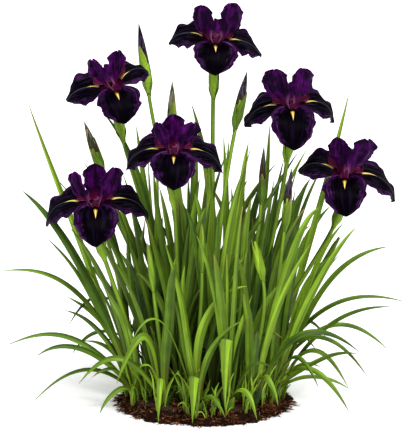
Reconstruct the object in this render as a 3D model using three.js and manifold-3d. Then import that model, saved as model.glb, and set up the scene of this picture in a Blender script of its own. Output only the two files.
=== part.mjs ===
// A clump of beardless water iris in flower, standing in the patch of mulched soil that it grows in.
// Creeping rhizomes lie half sunk in the soil. A fan of sword leaves, most with a flower stem in it,
// grows up from each of their tips. Six stems carry an open bloom and ten a closed bud.
// Millimetres, +Z up, origin at the middle of the soil's flat underside, front of the clump towards -Y.
import * as THREE from "three";
import { mergeVertices } from "three/addons/utils/BufferGeometryUtils.js";
import Module from "manifold-3d";

const wasm = await Module();
wasm.setup();

// Driving dimensions
const SOIL_RADIUS = 128;
const SOIL_HEIGHT = 24;
const SOIL_EDGE = 3.5;
const RHIZOME_RADIUS = 9.5;
const RHIZOME_DEPTH = 2.5; // of its middle line below the soil's face
const FOOT_HEIGHT = 4.5; // of a shoot's flat foot above the rhizome's middle line
const ROOT_HEIGHT = 11; // of the place where leaves and stem part, above the foot
const LEAF_THICKNESS = 1.7;
const STEM_RADIUS = 3.6;
const FALL_LENGTH = 86;
const FALL_HALF_WIDTH = 33; // of the front fall
const SIDE_FALL_HALF_WIDTH = 29;
const STANDARD_LENGTH = 70;
const STYLE_LENGTH = 30;
const CREST = 5; // how far the style's two lobes stand out past its end
const STYLE_HALF_WIDTH = 6;
const PETAL_THICKNESS = 1.2;
const GAP = 0.4; // left between pieces that touch
const POCKET_GAP = 0.6; // left round a rhizome's corners in the soil, less at its faces
const CLEAR = 0.8; // least air between a leaf and any other piece
const LOWEST = 5; // of any leaf above the ground
const TRIES = 60; // places tried for a leaf before it is left out
const TIDY = 0.05; // how far a face may move when slivers left by a boolean are cleared

const colours = {
  soil: [0x35200f, 0.95],
  rhizome: [0x8a6238, 0.8],
  leaf: [0x4c8a22, 0.5],
  petal: [0x24092f, 0.65],
  style: [0x6a1040, 0.6],
};
const materials = Object.fromEntries(
  Object.entries(colours).map(([name, [color, roughness]]) => [
    name,
    new THREE.MeshStandardMaterial({ name, color, roughness, metalness: 0 }),
  ]),
);

const v3 = (x, y, z) => new THREE.Vector3(x, y, z);
const UP = v3(0, 0, 1);
const RIGHT = v3(1, 0, 0);
const radians = THREE.MathUtils.degToRad;
const smooth = (x) => THREE.MathUtils.smoothstep(x, 0, 1);
const two = (n) => String(n).padStart(2, "0");

// Height of the soil's face, without its lumps, at a place on it.
const soilFace = (x, y) => {
  const out = Math.hypot(x, y) / SOIL_RADIUS;
  return SOIL_EDGE + (SOIL_HEIGHT - SOIL_EDGE) * (1 - out ** 3.4);
};
const footOf = ([x, y]) => v3(x, y, soilFace(x, y) - RHIZOME_DEPTH + FOOT_HEIGHT);
const rootOf = (place) => footOf(place).addScaledVector(UP, ROOT_HEIGHT);

// Random draws: a linear congruential series for each seed, so that no leaf's draws depend on another's.
function series(seed) {
  let state = (seed * 7919 + 12345) % 4294967296;
  return (low, high) => {
    state = (state * 1664525 + 1013904223) % 4294967296;
    return low + ((high - low) * state) / 4294967296;
  };
}

// ---------------------------------------------------------------- solids

// A closed geometry as a manifold-3d solid.
function solid(geometry) {
  const bare = new THREE.BufferGeometry();
  bare.setAttribute("position", geometry.getAttribute("position"));
  bare.setIndex(geometry.getIndex());
  const merged = mergeVertices(bare, 1e-4);
  return new wasm.Manifold(
    new wasm.Mesh({
      numProp: 3,
      vertProperties: new Float32Array(merged.attributes.position.array),
      triVerts: new Uint32Array(merged.index.array),
    }),
  );
}

// A solid without the loose scraps and sealed hollows that a boolean may leave.
function sound(made) {
  return made.simplify(TIDY).decompose().reduce((best, one) => (one.volume() > best.volume() ? one : best));
}

const fused = (solids) => sound(solids.reduce((all, one) => all.add(one)));

function placed(made, matrix) {
  return made.transform(matrix.elements);
}

function meshOf(name, made, material) {
  const data = made.getMesh();
  const geometry = new THREE.BufferGeometry();
  geometry.setAttribute("position", new THREE.BufferAttribute(new Float32Array(data.vertProperties), 3));
  geometry.setIndex(new THREE.BufferAttribute(new Uint32Array(data.triVerts), 1));
  const mesh = new THREE.Mesh(geometry, material);
  mesh.name = name;
  return mesh;
}

function indexed(points, triangles) {
  const geometry = new THREE.BufferGeometry();
  geometry.setAttribute("position", new THREE.Float32BufferAttribute(points.flatMap((p) => p.toArray()), 3));
  geometry.setIndex(triangles.flat());
  return geometry;
}

// Rings of equal count, each turning left about the way they run, skinned and closed by flat caps,
// or at the far end by an apex.
function loft(rings, apex) {
  const n = rings[0].length;
  const points = rings.flat();
  const triangles = [];
  for (let i = 0; i + 1 < rings.length; i++)
    for (let j = 0; j < n; j++) {
      const k = (j + 1) % n;
      triangles.push([i * n + j, i * n + k, (i + 1) * n + k]);
      triangles.push([i * n + j, (i + 1) * n + k, (i + 1) * n + j]);
    }
  const last = (rings.length - 1) * n;
  for (let j = 1; j + 1 < n; j++) triangles.push([0, j + 1, j]);
  if (apex) {
    points.push(apex);
    for (let j = 0; j < n; j++) triangles.push([last + j, last + ((j + 1) % n), points.length - 1]);
  } else for (let j = 1; j + 1 < n; j++) triangles.push([last, last + j, last + j + 1]);
  return solid(indexed(points, triangles));
}

// A ring of n points round a point, across a direction: rw along the side vector and rn along the other.
function ringAt(at, along, side, rw, rn, n) {
  const w = side.clone().addScaledVector(along, -side.dot(along)).normalize();
  const u = along.clone().cross(w);
  return Array.from({ length: n }, (_, j) => {
    const a = (j / n) * 2 * Math.PI;
    return at.clone().addScaledVector(w, rw * Math.cos(a)).addScaledVector(u, rn * Math.sin(a));
  });
}

// The rings of a five-sided rod along a curve, with its radius a function of the distance along, from 0 to 1.
// corner is a direction that the rod doesn't take, to which each ring turns its first corner.
function rod(curve, radius, corner, steps, from = 0, to = 1) {
  const rings = [];
  for (let i = 0; i <= steps; i++) {
    const t = from + ((to - from) * i) / steps;
    rings.push(ringAt(curve.getPoint(t), curve.getTangent(t), corner, radius(t), radius(t), 5));
  }
  return rings;
}

// A closed sheet: a grid of points and its unit normals, with both faces triangulated alike.
function sheet(grid, normals, thickness) {
  const rows = grid.length;
  const cols = grid[0].length;
  const half = thickness / 2;
  const points = [half, -half].flatMap((h) =>
    grid.flatMap((row, i) => row.map((p, j) => p.clone().addScaledVector(normals[i][j], h))),
  );
  const under = rows * cols;
  const triangles = [];
  for (let i = 0; i + 1 < rows; i++)
    for (let j = 0; j + 1 < cols; j++) {
      const [a, b, c, d] = [i * cols + j, i * cols + j + 1, (i + 1) * cols + j + 1, (i + 1) * cols + j];
      for (const [p, q, r] of [[a, b, c], [a, c, d]]) {
        triangles.push([p, q, r], [under + p, under + r, under + q]);
      }
    }
  const last = (rows - 1) * cols;
  const rim = [];
  for (let j = 0; j + 1 < cols; j++) rim.push([j + 1, j], [last + j, last + j + 1]);
  for (let i = 0; i < last; i += cols) rim.push([i, i + cols], [i + 2 * cols - 1, i + cols - 1]);
  for (const [a, b] of rim) triangles.push([a, b, under + b], [a, under + b, under + a]);
  const made = solid(indexed(points, triangles));
  return made.volume() > 0 ? made : solid(indexed(points, triangles.map(([a, b, c]) => [a, c, b])));
}

// ---------------------------------------------------------------- leaves

// Half the width of a sword leaf, as a share of its greatest: sheathing foot, parallel sides, long point.
const leafOutline = (t) => (0.55 + 0.45 * Math.sin((Math.PI / 2) * Math.min(1, t / 0.3))) * (1 - t ** 3);

// A sword leaf with a raised midrib, from root to tip along a curve drawn towards bow. turn is how far the
// blade is turned about that curve, in degrees from lying flat over it.
function leaf({ root, bow, tip, width, turn }, steps = 5) {
  const curve = new THREE.QuadraticBezierCurve3(root, bow, tip);
  const way = v3(tip.x - root.x, tip.y - root.y, 0).normalize();
  const level = v3(-way.y, way.x, 0);
  const rings = [];
  for (let i = 0; i < steps; i++) {
    const t = i / steps;
    const along = curve.getTangent(t);
    const side = level.clone().addScaledVector(along, -level.dot(along)).normalize();
    side.applyAxisAngle(along, radians(turn));
    const rib = along.clone().cross(side).multiplyScalar(LEAF_THICKNESS * (1 - 0.4 * t));
    const at = curve.getPoint(t);
    side.multiplyScalar((width / 2) * leafOutline(t));
    rings.push([at.clone().add(side), at.clone().add(rib), at.clone().sub(side)]);
  }
  return loft(rings, tip);
}

// ---------------------------------------------------------------- petals

// The share left of the width where a rounded end closes a petal, from the place u = start on.
function rounded(u, start, cut, power) {
  const past = Math.max(0, (u - start) / (1 - start));
  return Math.max(0, 1 - cut * past ** power);
}

// Outlines: half the width as a share of the greatest, from the claw at 0 to the end at 1.
const outlines = {
  fall: (u) => (0.1 + 0.9 * smooth((u + 0.05) / 0.42)) * rounded(u, 0.38, 0.98, 2.1) ** 0.64,
  sideFall: (u) => (0.1 + 0.9 * smooth((u + 0.05) / 0.42)) * rounded(u, 0.45, 0.95, 1.8) ** 0.8,
  standard: (u) => (0.16 + 0.84 * smooth((u - 0.26) / 0.4)) * rounded(u, 0.66, 0.97, 3) ** 0.6,
  style: (u) => (0.22 + 0.78 * smooth((u - 0.3) / 0.5)) * rounded(u, 0.75, 0.5, 2),
};

// A point of a petal. Its midline is an arc that leaves the bloom at the angle rise and ends at droop,
// u runs along it and v across, from -1 to 1. twist turns the blade about its midline from u = straight on,
// hollow bends its margins back from the midline, the claw is a gutter, and the margins are waved.
function petalPoint(p, u, v) {
  const rise = radians(p.rise);
  const bend = (radians(p.droop) - rise) / p.length;
  const angle = rise + bend * p.length * u;
  const reach = p.start + (Math.sin(angle) - Math.sin(rise)) / bend;
  const height = p.level + (Math.cos(rise) - Math.cos(angle)) / bend;
  const blade = smooth((u - 0.15) / 0.35);
  const wave = p.wave * blade * v * v * Math.sin(2 * Math.PI * p.waves * u + p.phase + (v > 0 ? 0 : 2.1));
  const lift = (p.gutter * (1 - blade) - p.hollow * blade) * v * v + wave;
  const across = v * p.halfWidth * outlines[p.outline](u);
  const turned = radians(p.twist) * smooth((u - p.straight) / 0.4);
  const side = across * Math.cos(turned) - lift * Math.sin(turned);
  const above = across * Math.sin(turned) + lift * Math.cos(turned);
  const out = reach - Math.sin(angle) * above;
  const way = radians(p.azimuth);
  return v3(
    out * Math.cos(way) - side * Math.sin(way),
    out * Math.sin(way) + side * Math.cos(way),
    height + Math.cos(angle) * above,
  );
}

function petalNormal(p, u, v) {
  const step = 0.01;
  const du = petalPoint(p, u + step, v).sub(petalPoint(p, u - step, v));
  const dv = petalPoint(p, u, v + step).sub(petalPoint(p, u, v - step));
  return du.cross(dv).normalize();
}

function petal(p, us, vs) {
  const grid = us.map((u) => vs.map((v) => petalPoint(p, u, v)));
  const normals = us.map((u) => vs.map((v) => petalNormal(p, u, v)));
  return sheet(grid, normals, PETAL_THICKNESS);
}

const FALL_ROWS = [0, 0.22, 0.4, 0.6, 0.82, 1];
const FALL_COLUMNS = [-1, -0.4, 0.4, 1];
const STANDARD_ROWS = [0, 0.24, 0.5, 0.8, 1];
const STANDARD_COLUMNS = [-1, 0, 1];

// Open blooms: where the throat is, how far the whole bloom is turned about its stem, nods towards the front
// and rolls to its right, then its three falls, to the front, back right and back left, as
// [rise, droop, share of the full length, twist], and its three standards, to the back, front left and
// front right, as [rise, droop, share of the full length, half width, twist].
const blooms = [
  {
    at: [16, 30, 547], turn: 2, nod: 14, roll: 2,
    falls: [[28, -86, 0.81, 0], [16, -62, 1.02, 30], [40, -62, 0.93, -28]],
    standards: [[34, 0, 0.8, 17, 0], [50, 98, 0.97, 15, 44], [42, 108, 1.06, 18, -44]],
  },
  {
    at: [-136, 30, 478], turn: 16, nod: 20, roll: -5,
    falls: [[28, -82, 0.84, 0], [56, -54, 0.86, 14], [26, -58, 0.9, -34]],
    standards: [[24, -10, 0.8, 15, 0], [54, 76, 1, 12, 40], [86, 78, 0.92, 14, -50]],
  },
  {
    at: [129, -20, 456], turn: 2, nod: 13, roll: 0,
    falls: [[28, -94, 1.02, 0], [30, -84, 1.05, 30], [16, -76, 1.02, -34]],
    standards: [[34, 0, 0.8, 17, 0], [46, 92, 1.06, 20, 44], [66, 92, 0.97, 18, -44]],
  },
  {
    at: [-44, -70, 397], turn: 0, nod: 14, roll: 0,
    falls: [[28, -88, 0.87, 0], [16, -80, 1.12, 32], [18, -76, 1.08, -34]],
    standards: [[86, 70, 0.8, 16, 0], [54, 84, 0.82, 13, 36], [54, 70, 0.88, 15, -36]],
  },
  {
    at: [-160, -60, 317], turn: 3, nod: 13, roll: 0,
    falls: [[28, -92, 0.97, 0], [26, -76, 1.18, 32], [20, -82, 1.18, -34]],
    standards: [[86, 74, 0.88, 17, 0], [46, 78, 1, 12, 40], [50, 84, 1.06, 17, -40]],
  },
  {
    at: [211, 10, 348], turn: -3, nod: 14, roll: -4,
    falls: [[28, -90, 0.95, 0], [8, -84, 1.24, 32], [54, -60, 0.98, -30]],
    standards: [[44, 10, 0.8, 16, 0], [84, 94, 0.93, 16, 46], [52, 70, 1.1, 20, -40]],
  },
];
const FALL_WAYS = [-90, 25, 155];
const STANDARD_WAYS = [90, 210, 330];
const STYLE_TWISTS = [0, 30, -30]; // degrees that each style arm rolls with the fall under it

function bloomMatrix({ at, turn, nod, roll }) {
  const lean = new THREE.Euler(radians(nod), radians(roll), radians(turn), "XYZ");
  const tilt = new THREE.Matrix4().makeRotationFromEuler(lean);
  return new THREE.Matrix4().makeTranslation(...at).multiply(tilt);
}

function fallOf(bloom, i, number) {
  const [rise, droop, share, twist] = bloom.falls[i];
  const kind = i === 0
    ? { outline: "fall", halfWidth: FALL_HALF_WIDTH, hollow: 5 }
    : { outline: "sideFall", halfWidth: SIDE_FALL_HALF_WIDTH, hollow: 2.5 };
  return {
    ...kind, azimuth: FALL_WAYS[i], start: 6.3, level: -1, rise, droop, twist, straight: -0.2,
    length: FALL_LENGTH * share, gutter: 2.5, wave: 3.2, waves: 2.5, phase: number * 1.7 + i * 2.3,
  };
}

function standardOf(bloom, i, number) {
  const [rise, droop, share, halfWidth, twist] = bloom.standards[i];
  return {
    outline: "standard", azimuth: STANDARD_WAYS[i], start: 5.8, level: 0, rise, droop, twist, straight: 0.15,
    length: STANDARD_LENGTH * share, halfWidth, hollow: -3, gutter: 1.2, wave: 3.2, waves: 1.9,
    phase: number * 2.9 + i * 1.3,
  };
}

// A style arm arches over the fall that it faces, so it rises and droops with the fall's inner part.
function styleOf(bloom, i) {
  const [rise, droop] = bloom.falls[i];
  return {
    outline: "style", azimuth: FALL_WAYS[i], start: 0.8, level: 7, rise: rise + 8,
    droop: rise + 0.4 * (droop - rise), twist: STYLE_TWISTS[i], straight: 0,
    length: STYLE_LENGTH, halfWidth: STYLE_HALF_WIDTH, hollow: 2.2, gutter: 0, wave: 0, waves: 1, phase: 0,
  };
}

// A short column round a bloom's axis, from (radius, height) pairs, with its first corner at the given side.
function column(profile, corner, sides) {
  return loft(profile.map(([r, z]) => ringAt(v3(0, 0, z), UP, corner, r, r, sides)));
}

// The cup where falls and standards join, with the socket that the styles' column stands in.
const CUP = [[5.2, -9], [8.7, -2.5], [8.2, 3.5]];
const SOCKET = { radius: 3.6, foot: 1, top: 14 };

// The styles' column has three faces, one to each style arm, so its corners grow by twice what its faces do.
function styleColumn(grow) {
  const { radius, foot, top } = SOCKET;
  return column([[radius + 2 * grow, foot - grow], [radius + 2 * grow, top]], v3(0, 1, 0), 3);
}

function petalsSolid(bloom, number) {
  const made = [column(CUP, v3(1, 0, 0), 6)];
  for (let i = 0; i < 3; i++) {
    made.push(petal(fallOf(bloom, i, number), FALL_ROWS, FALL_COLUMNS));
    made.push(petal(standardOf(bloom, i, number), STANDARD_ROWS, STANDARD_COLUMNS));
  }
  return fused(made).subtract(styleColumn(GAP));
}

// Three arching style arms on one column, each ending in a crest of two upturned lobes.
function stylesSolid(bloom) {
  const made = [styleColumn(0)];
  for (let i = 0; i < 3; i++) {
    const arm = styleOf(bloom, i);
    const out = petalPoint(arm, 1, 0).sub(petalPoint(arm, 0.7, 0)).normalize();
    const rows = [0, 0.5, 0.85].map((u) => [-1, 0, 1].map((v) => petalPoint(arm, u, v)));
    rows.push([-1.3, 0, 1.3].map((v) => {
      const lobe = Math.abs(v) * CREST;
      return petalPoint(arm, 0.95, v).addScaledVector(out, lobe).addScaledVector(UP, lobe + 1);
    }));
    const normal = petalNormal(arm, 0.5, 0);
    made.push(sheet(rows, rows.map((row) => row.map(() => normal)), PETAL_THICKNESS));
  }
  return fused(made);
}

// ---------------------------------------------------------------- shoots

// Each shoot: its place on the soil, and the number of the bloom or bud that its stem carries, if any.
const shoots = [
  { at: [-60, -80], bud: 8 },
  { at: [-12, -95], bud: 9 },
  { at: [35, -92] },
  { at: [72, -72], bud: 7 },
  { at: [-98, -45], bloom: 5 },
  { at: [-35, -45], bloom: 4 },
  { at: [14, -50], bud: 3 },
  { at: [50, -30], bud: 5 },
  { at: [100, -35], bud: 6 },
  { at: [-72, -5], bud: 4 },
  { at: [-20, 0], bud: 2 },
  { at: [78, 5], bloom: 3 },
  { at: [112, 6], bud: 10 },
  { at: [-105, 20] },
  { at: [-45, 45], bloom: 2 },
  { at: [15, 35], bloom: 1 },
  { at: [50, 52] },
  { at: [96, 44], bloom: 6 },
  { at: [-75, 72] },
  { at: [-12, 88], bud: 1 },
  { at: [46, 94] },
];

// Closed buds: foot and tip of the furled flower in its spathe, greatest width, and whether the dark
// petals already stand out of it.
const buds = [
  { foot: [-85, 118, 459], tip: [-100, 118, 569], width: 16, open: true },
  { foot: [-48, 0, 400], tip: [-47, 0, 495], width: 15, open: true },
  { foot: [46, -50, 430], tip: [63, -50, 516], width: 15, open: true },
  { foot: [-150, 0, 353], tip: [-179, 0, 435], width: 15, open: true },
  { foot: [85, -20, 315], tip: [89, -20, 401], width: 11, open: true },
  { foot: [119, -52, 281], tip: [129, -52, 373], width: 13, open: true },
  { foot: [86, -90, 213], tip: [73, -92, 276], width: 13, open: false },
  { foot: [-74, -82, 191], tip: [-82, -82, 271], width: 10, open: false },
  { foot: [-3, -92, 223], tip: [-4, -92, 300], width: 9, open: false },
  { foot: [170, 0, 195], tip: [206, 0, 265], width: 9, open: false },
];
const BUD_SPLIT = 0.5; // share of the bud's length that its spathe covers
const SPLIT_GAP = 0.003; // share left free on either side of the split

// The stem is a curve that rises straight from the shoot and ends along the axis of what it carries.
function stemCurve(foot, top, axis) {
  const tall = top.z - foot.z;
  return new THREE.CubicBezierCurve3(
    foot,
    foot.clone().addScaledVector(UP, tall * 0.4),
    top.clone().addScaledVector(axis, -tall * 0.3),
    top,
  );
}

// A bract: a short pointed blade that clasps the stem at a place along it and stands off towards a side.
function bract(curve, t, length, width, way) {
  const root = curve.getPoint(t);
  const along = curve.getTangent(t);
  const off = v3(Math.cos(radians(way)), Math.sin(radians(way)), 0);
  const bow = root.clone().addScaledVector(along, length * 0.55).addScaledVector(off, width * 0.55);
  const tip = root.clone().addScaledVector(along, length).addScaledVector(off, width * 0.5);
  return leaf({ root, bow, tip, width, turn: 0 }, 2);
}

const OVARY_LENGTH = 84; // of the ovary under a bloom, with the tube above it
const OVARY_SWELL = 3.4; // how far the ovary stands out past the stem
const BRACT = { length: 62, width: 17 }; // the spathe that clasps the ovary

function bloomStem(bloom, shootAt, number) {
  const matrix = bloomMatrix(bloom);
  const top = v3(0, 0, CUP[0][1] - GAP).applyMatrix4(matrix);
  const axis = v3(0, 0, 1).transformDirection(matrix);
  const curve = stemCurve(rootOf(shootAt), top, axis);
  const flare = OVARY_LENGTH / curve.getLength();
  const swell = (s) => smooth(s / 0.3) * (1 - 0.4 * smooth((s - 0.5) / 0.5));
  const radius = (t) => STEM_RADIUS - 0.5 * t + OVARY_SWELL * swell((t - 1 + flare) / flare);
  const stalk = rod(curve, radius, RIGHT, 4, 0, 1 - flare);
  const ovary = rod(curve, radius, RIGHT, 2, 1 - flare, 1);
  const spathe = bract(curve, 1 - flare, BRACT.length, BRACT.width, 200 + number * 40);
  return fused([loft([...stalk, ...ovary.slice(1)]), spathe]);
}

// Radius of a bud at a share s of its length, as a share of the greatest.
const budOutline = (s) => (0.42 + 0.58 * smooth(s / 0.4)) * (1 - Math.max(0, (s - 0.4) / 0.6) ** 1.7);

function budRings(bud, from, to, steps, grow) {
  const axis = new THREE.LineCurve3(v3(...bud.foot), v3(...bud.tip));
  const radius = (s) => (bud.width / 2) * budOutline(s) + grow;
  return rod(axis, radius, RIGHT, steps, from, to);
}

// The dark furled petals that stand out of an open spathe.
function budTip(bud, grow) {
  const from = BUD_SPLIT + (grow ? -SPLIT_GAP : SPLIT_GAP);
  return loft(budRings(bud, from, 0.9, 2, grow), v3(...bud.tip));
}

function budStem(bud, shootAt, number) {
  const foot = v3(...bud.foot);
  const axis = v3(...bud.tip).sub(foot).normalize();
  const curve = stemCurve(rootOf(shootAt), foot, axis);
  const rings = rod(curve, (t) => STEM_RADIUS - 0.9 * t, RIGHT, 4);
  const spathe = budRings(bud, 0.1, bud.open ? BUD_SPLIT : 0.9, bud.open ? 2 : 4, 0);
  const made = [loft([...rings, ...spathe], bud.open ? undefined : v3(...bud.tip))];
  const line = new THREE.LineCurve3(foot, v3(...bud.tip));
  const length = foot.distanceTo(v3(...bud.tip));
  made.push(bract(line, 0.14, length * 0.55, bud.width * 0.85, 190 + number * 50));
  const whole = fused(made);
  return bud.open ? whole.subtract(budTip(bud, GAP)) : whole;
}

// The sheath in which the leaves of one shoot clasp each other, a stub whose flat top they rise through.
const SHEATH = [[6, 0], [9.2, 8], [9.2, 13]];

function sheath(place, grow) {
  const foot = footOf(place);
  const rings = SHEATH.map(([r, z]) => {
    const at = foot.clone().addScaledVector(UP, z === 0 ? -grow : z);
    return ringAt(at, UP, v3(place[0], place[1], 0), r + grow, r * 0.85 + grow, 6);
  });
  return loft(rings);
}

// An upright leaf stands with its broad side to the front, but for some degrees. A hanging leaf lies flat
// over its line, with its front edge let down by some degrees.
const upright = (way, degrees) => 90 - THREE.MathUtils.radToDeg(way) + degrees;
const hanging = (way, degrees) => Math.sign(Math.cos(way)) * degrees;

// Leaves that give the clump its outline: [shoot, bow, tip, width, stance, degrees], placed one by one.
const chosenLeaves = [
  [14, [-185, 30, 232], [-266, 40, 463], 11, upright, 0],
  [5, [-190, -35, 271], [-274, -20, 330], 14, upright, 15],
  [14, [-165, 20, 178], [-239, 20, 254], 8, upright, 30],
  [14, [-182, 15, 225], [-304, 10, 203], 11, hanging, 20],
  [5, [-146, -20, 136], [-212, 0, 145], 8, hanging, 30],
  [5, [-187, -10, 146], [-295, -20, 96], 11, hanging, 20],
  [5, [-181, -60, 138], [-248, -75, 93], 12, hanging, 20],
  [5, [-174, -40, 106], [-255, -30, 12], 9, hanging, 15],
  [5, [-132, -80, 66], [-155, -100, 9], 8, hanging, 30],
  [1, [-78, -90, 212], [-129, -120, 60], 12, hanging, 50],
  [1, [-62, -95, 148], [-40, -95, 250], 16, upright, 0],
  [1, [-66, -118, 115], [-67, -146, 8], 10, hanging, 0],
  [2, [-22, -100, 194], [64, -100, 205], 14, upright, 0],
  [2, [-14, -138, 128], [-17, -141, 7], 14, hanging, 0],
  [3, [24, -85, 193], [60, -80, 247], 12, upright, 10],
  [3, [30, -140, 236], [31, -140, 24], 16, hanging, 0],
  [3, [58, -115, 82], [78, -134, 10], 9, hanging, 20],
  [8, [77, -80, 161], [110, -80, 202], 13, upright, 0],
  [4, [93, -104, 110], [109, -124, 28], 10, hanging, 20],
  [2, [15, -120, 58], [31, -134, 14], 7, hanging, 20],
  [18, [180, 30, 297], [220, 30, 473], 11, upright, 0],
  [9, [161, -40, 217], [228, -40, 283], 12, upright, 10],
  [13, [173, 0, 235], [280, 10, 241], 10, hanging, 30],
  [18, [170, 20, 194], [306, 30, 151], 10, hanging, 20],
  [13, [176, -10, 156], [282, -20, 155], 9, hanging, 25],
  [18, [195, 10, 176], [279, 0, 83], 10, hanging, 20],
  [9, [166, -40, 94], [229, -50, 90], 9, hanging, 25],
  [9, [163, -50, 77], [217, -60, 38], 8, hanging, 20],
  [12, [120, 0, 292], [160, 0, 348], 14, upright, -10],
  [4, [125, -70, 292], [171, -60, 315], 14, upright, 10],
  [15, [-64, 50, 341], [-155, 50, 442], 12, upright, 0],
  [15, [-90, 60, 319], [-103, 60, 420], 11, upright, 20],
  [16, [27, 60, 319], [-20, 60, 454], 14, upright, 0],
  [16, [43, 40, 261], [29, 40, 408], 11, upright, -20],
  [17, [27, 60, 257], [39, 60, 403], 10, upright, 20],
  [7, [48, 10, 313], [67, 10, 402], 14, upright, 10],
  [17, [94, 40, 292], [99, 40, 426], 11, upright, -10],
  [8, [71, -60, 190], [60, -60, 320], 14, upright, 0],
  [6, [-28, -30, 244], [-6, -30, 355], 14, upright, 15],
  [10, [-111, -30, 183], [-115, -30, 273], 12, upright, 0],
  [11, [18, -20, 242], [6, -20, 394], 16, upright, 0],
  [11, [-63, 0, 223], [-76, 0, 363], 14, upright, -15],
  [8, [87, -30, 229], [104, -30, 353], 11, upright, 20],
];

// The leaf as listed, or with its depth shifted by ever more until it hangs clear.
function chosenLeaf([, bow, tip, width, stance, degrees], root, attempt) {
  const shift = Math.ceil(attempt / 2) * 3 * (attempt % 2 ? 1 : -1);
  return {
    root,
    bow: v3(bow[0], bow[1] + shift, bow[2]),
    tip: v3(tip[0], tip[1] + shift * 1.3, tip[2]),
    width, stance, degrees,
  };
}

const FRONT_EDGE = -152; // how far to the front a drawn leaf may hang

// The other leaves are drawn by lot. A leaf is an upright sword or, more often at the clump's rim, one that
// arches out and hangs, and it leans the way its shoot lies from the middle of the clump.
function drawnLeaf(shootAt, root, seed) {
  const draw = series(seed);
  const [x, y] = shootAt;
  const rim = Math.hypot(x, y) / SOIL_RADIUS;
  const way = Math.atan2(y, x) + radians(draw(-75, 75)) / (0.5 + rim);
  const arching = draw(0, 1) < 0.62 * rim - 0.1;
  const span = arching ? draw(90, 180) : draw(10, 55) + 75 * rim;
  const tall = arching ? draw(20, 150) : draw(190, 400) - 60 * rim;
  const crest = arching ? draw(1, 1.5) * (60 + tall * 0.8) : tall * draw(0.6, 0.75);
  const early = arching ? draw(0.4, 0.55) : draw(0.15, 0.35);
  const out = v3(Math.cos(way), Math.sin(way), 0);
  const reach = out.y < 0 ? Math.min(span, (root.y - FRONT_EDGE) / -out.y) : span;
  const tip = v3(root.x, root.y, Math.max(10, tall)).addScaledVector(out, reach);
  const bow = v3(root.x, root.y, root.z + crest).addScaledVector(out, reach * early);
  const width = draw(11, 16);
  return arching
    ? { root, bow, tip, width, stance: hanging, degrees: draw(0, 35) }
    : { root, bow, tip, width, stance: upright, degrees: draw(-50, 50) };
}

const LEAVES_A_SHOOT = 5;
const FEWEST_DRAWN = 1;
const ROOT_RING = 4.6; // of the leaves' roots round the stem

// All leaves of a shoot in order: its chosen leaves first, then drawn ones up to its share.
function leafMakers(number, shootAt) {
  const chosen = chosenLeaves.filter(([shoot]) => shoot === number);
  const drawn = Math.max(LEAVES_A_SHOOT - chosen.length, FEWEST_DRAWN);
  return [
    ...chosen.map((row) => (root, attempt) => chosenLeaf(row, root, attempt)),
    ...Array.from({ length: drawn }, (_, k) => (root, attempt) =>
      drawnLeaf(shootAt, root, number * 1000 + k * 100 + attempt)),
  ];
}

// The k-th leaf of a shoot, its root moved off the stem to the side that the leaf leans to.
function leafAt(place, make, k, attempt) {
  const root = rootOf(place);
  const { tip } = make(root, attempt);
  const way = Math.atan2(tip.y - root.y, tip.x - root.x);
  const side = (k % 3) - 1;
  root.x += ROOT_RING * Math.cos(way) - 2 * side * Math.sin(way);
  root.y += ROOT_RING * Math.sin(way) + 2 * side * Math.cos(way);
  const row = make(root, attempt);
  return { ...row, turn: row.stance(Math.atan2(row.tip.y - root.y, row.tip.x - root.x), row.degrees) };
}

// ---------------------------------------------------------------- rhizomes and soil

// Rhizomes: each a main run through several shoots, and side branches off it, as [x, y] places.
const rhizomes = {
  rhizome_left: [
    [[-112, -34], [-98, -45], [-78, -62], [-60, -80], [-46, -92]],
    [[-78, -62], [-55, -50], [-33, -44]],
  ],
  rhizome_front: [
    [[-24, -92], [-12, -95], [12, -86], [35, -92], [56, -84], [74, -71]],
    [[12, -86], [16, -68], [14, -48]],
  ],
  rhizome_right: [
    [[48, -30], [72, -34], [100, -35], [114, -30]],
    [[72, -34], [80, -14], [78, 6]],
  ],
  rhizome_back_left: [
    [[-70, -8], [-86, 12], [-104, 21], [-116, 26]],
    [[-86, 12], [-78, 42], [-75, 74]],
    [[-78, 42], [-60, 46], [-44, 46]],
  ],
  rhizome_middle: [[[-21, -2], [-6, 16], [16, 35], [34, 42], [51, 52]]],
  rhizome_back: [[[-14, 87], [16, 86], [47, 95]]],
  rhizome_far_right: [[[113, 4], [110, 24], [95, 46]]],
};

// A knotted root stock: thick between its growth scars, pinched at them, blunt at its ends.
function rhizomeSolid(runs, grow) {
  const made = runs.map((places) => {
    const middle = places.map(([x, y]) => v3(x, y, soilFace(x, y) - RHIZOME_DEPTH));
    const curve = new THREE.CatmullRomCurve3(middle);
    const steps = places.length;
    const radius = (t) => {
      const blunt = Math.sqrt(Math.max(0, 1 - (2 * Math.abs(t - 0.5)) ** 8 * 0.8));
      return RHIZOME_RADIUS * (0.88 + 0.12 * Math.cos(t * steps * Math.PI)) * blunt + grow;
    };
    const ends = [0, 1].map((t) => curve.getTangent(t).multiplyScalar(t ? grow : -grow));
    const rings = rod(curve, radius, UP, steps);
    rings[0].forEach((p) => p.add(ends[0]));
    rings.at(-1).forEach((p) => p.add(ends[1]));
    return loft(rings);
  });
  return fused(made);
}

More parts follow.
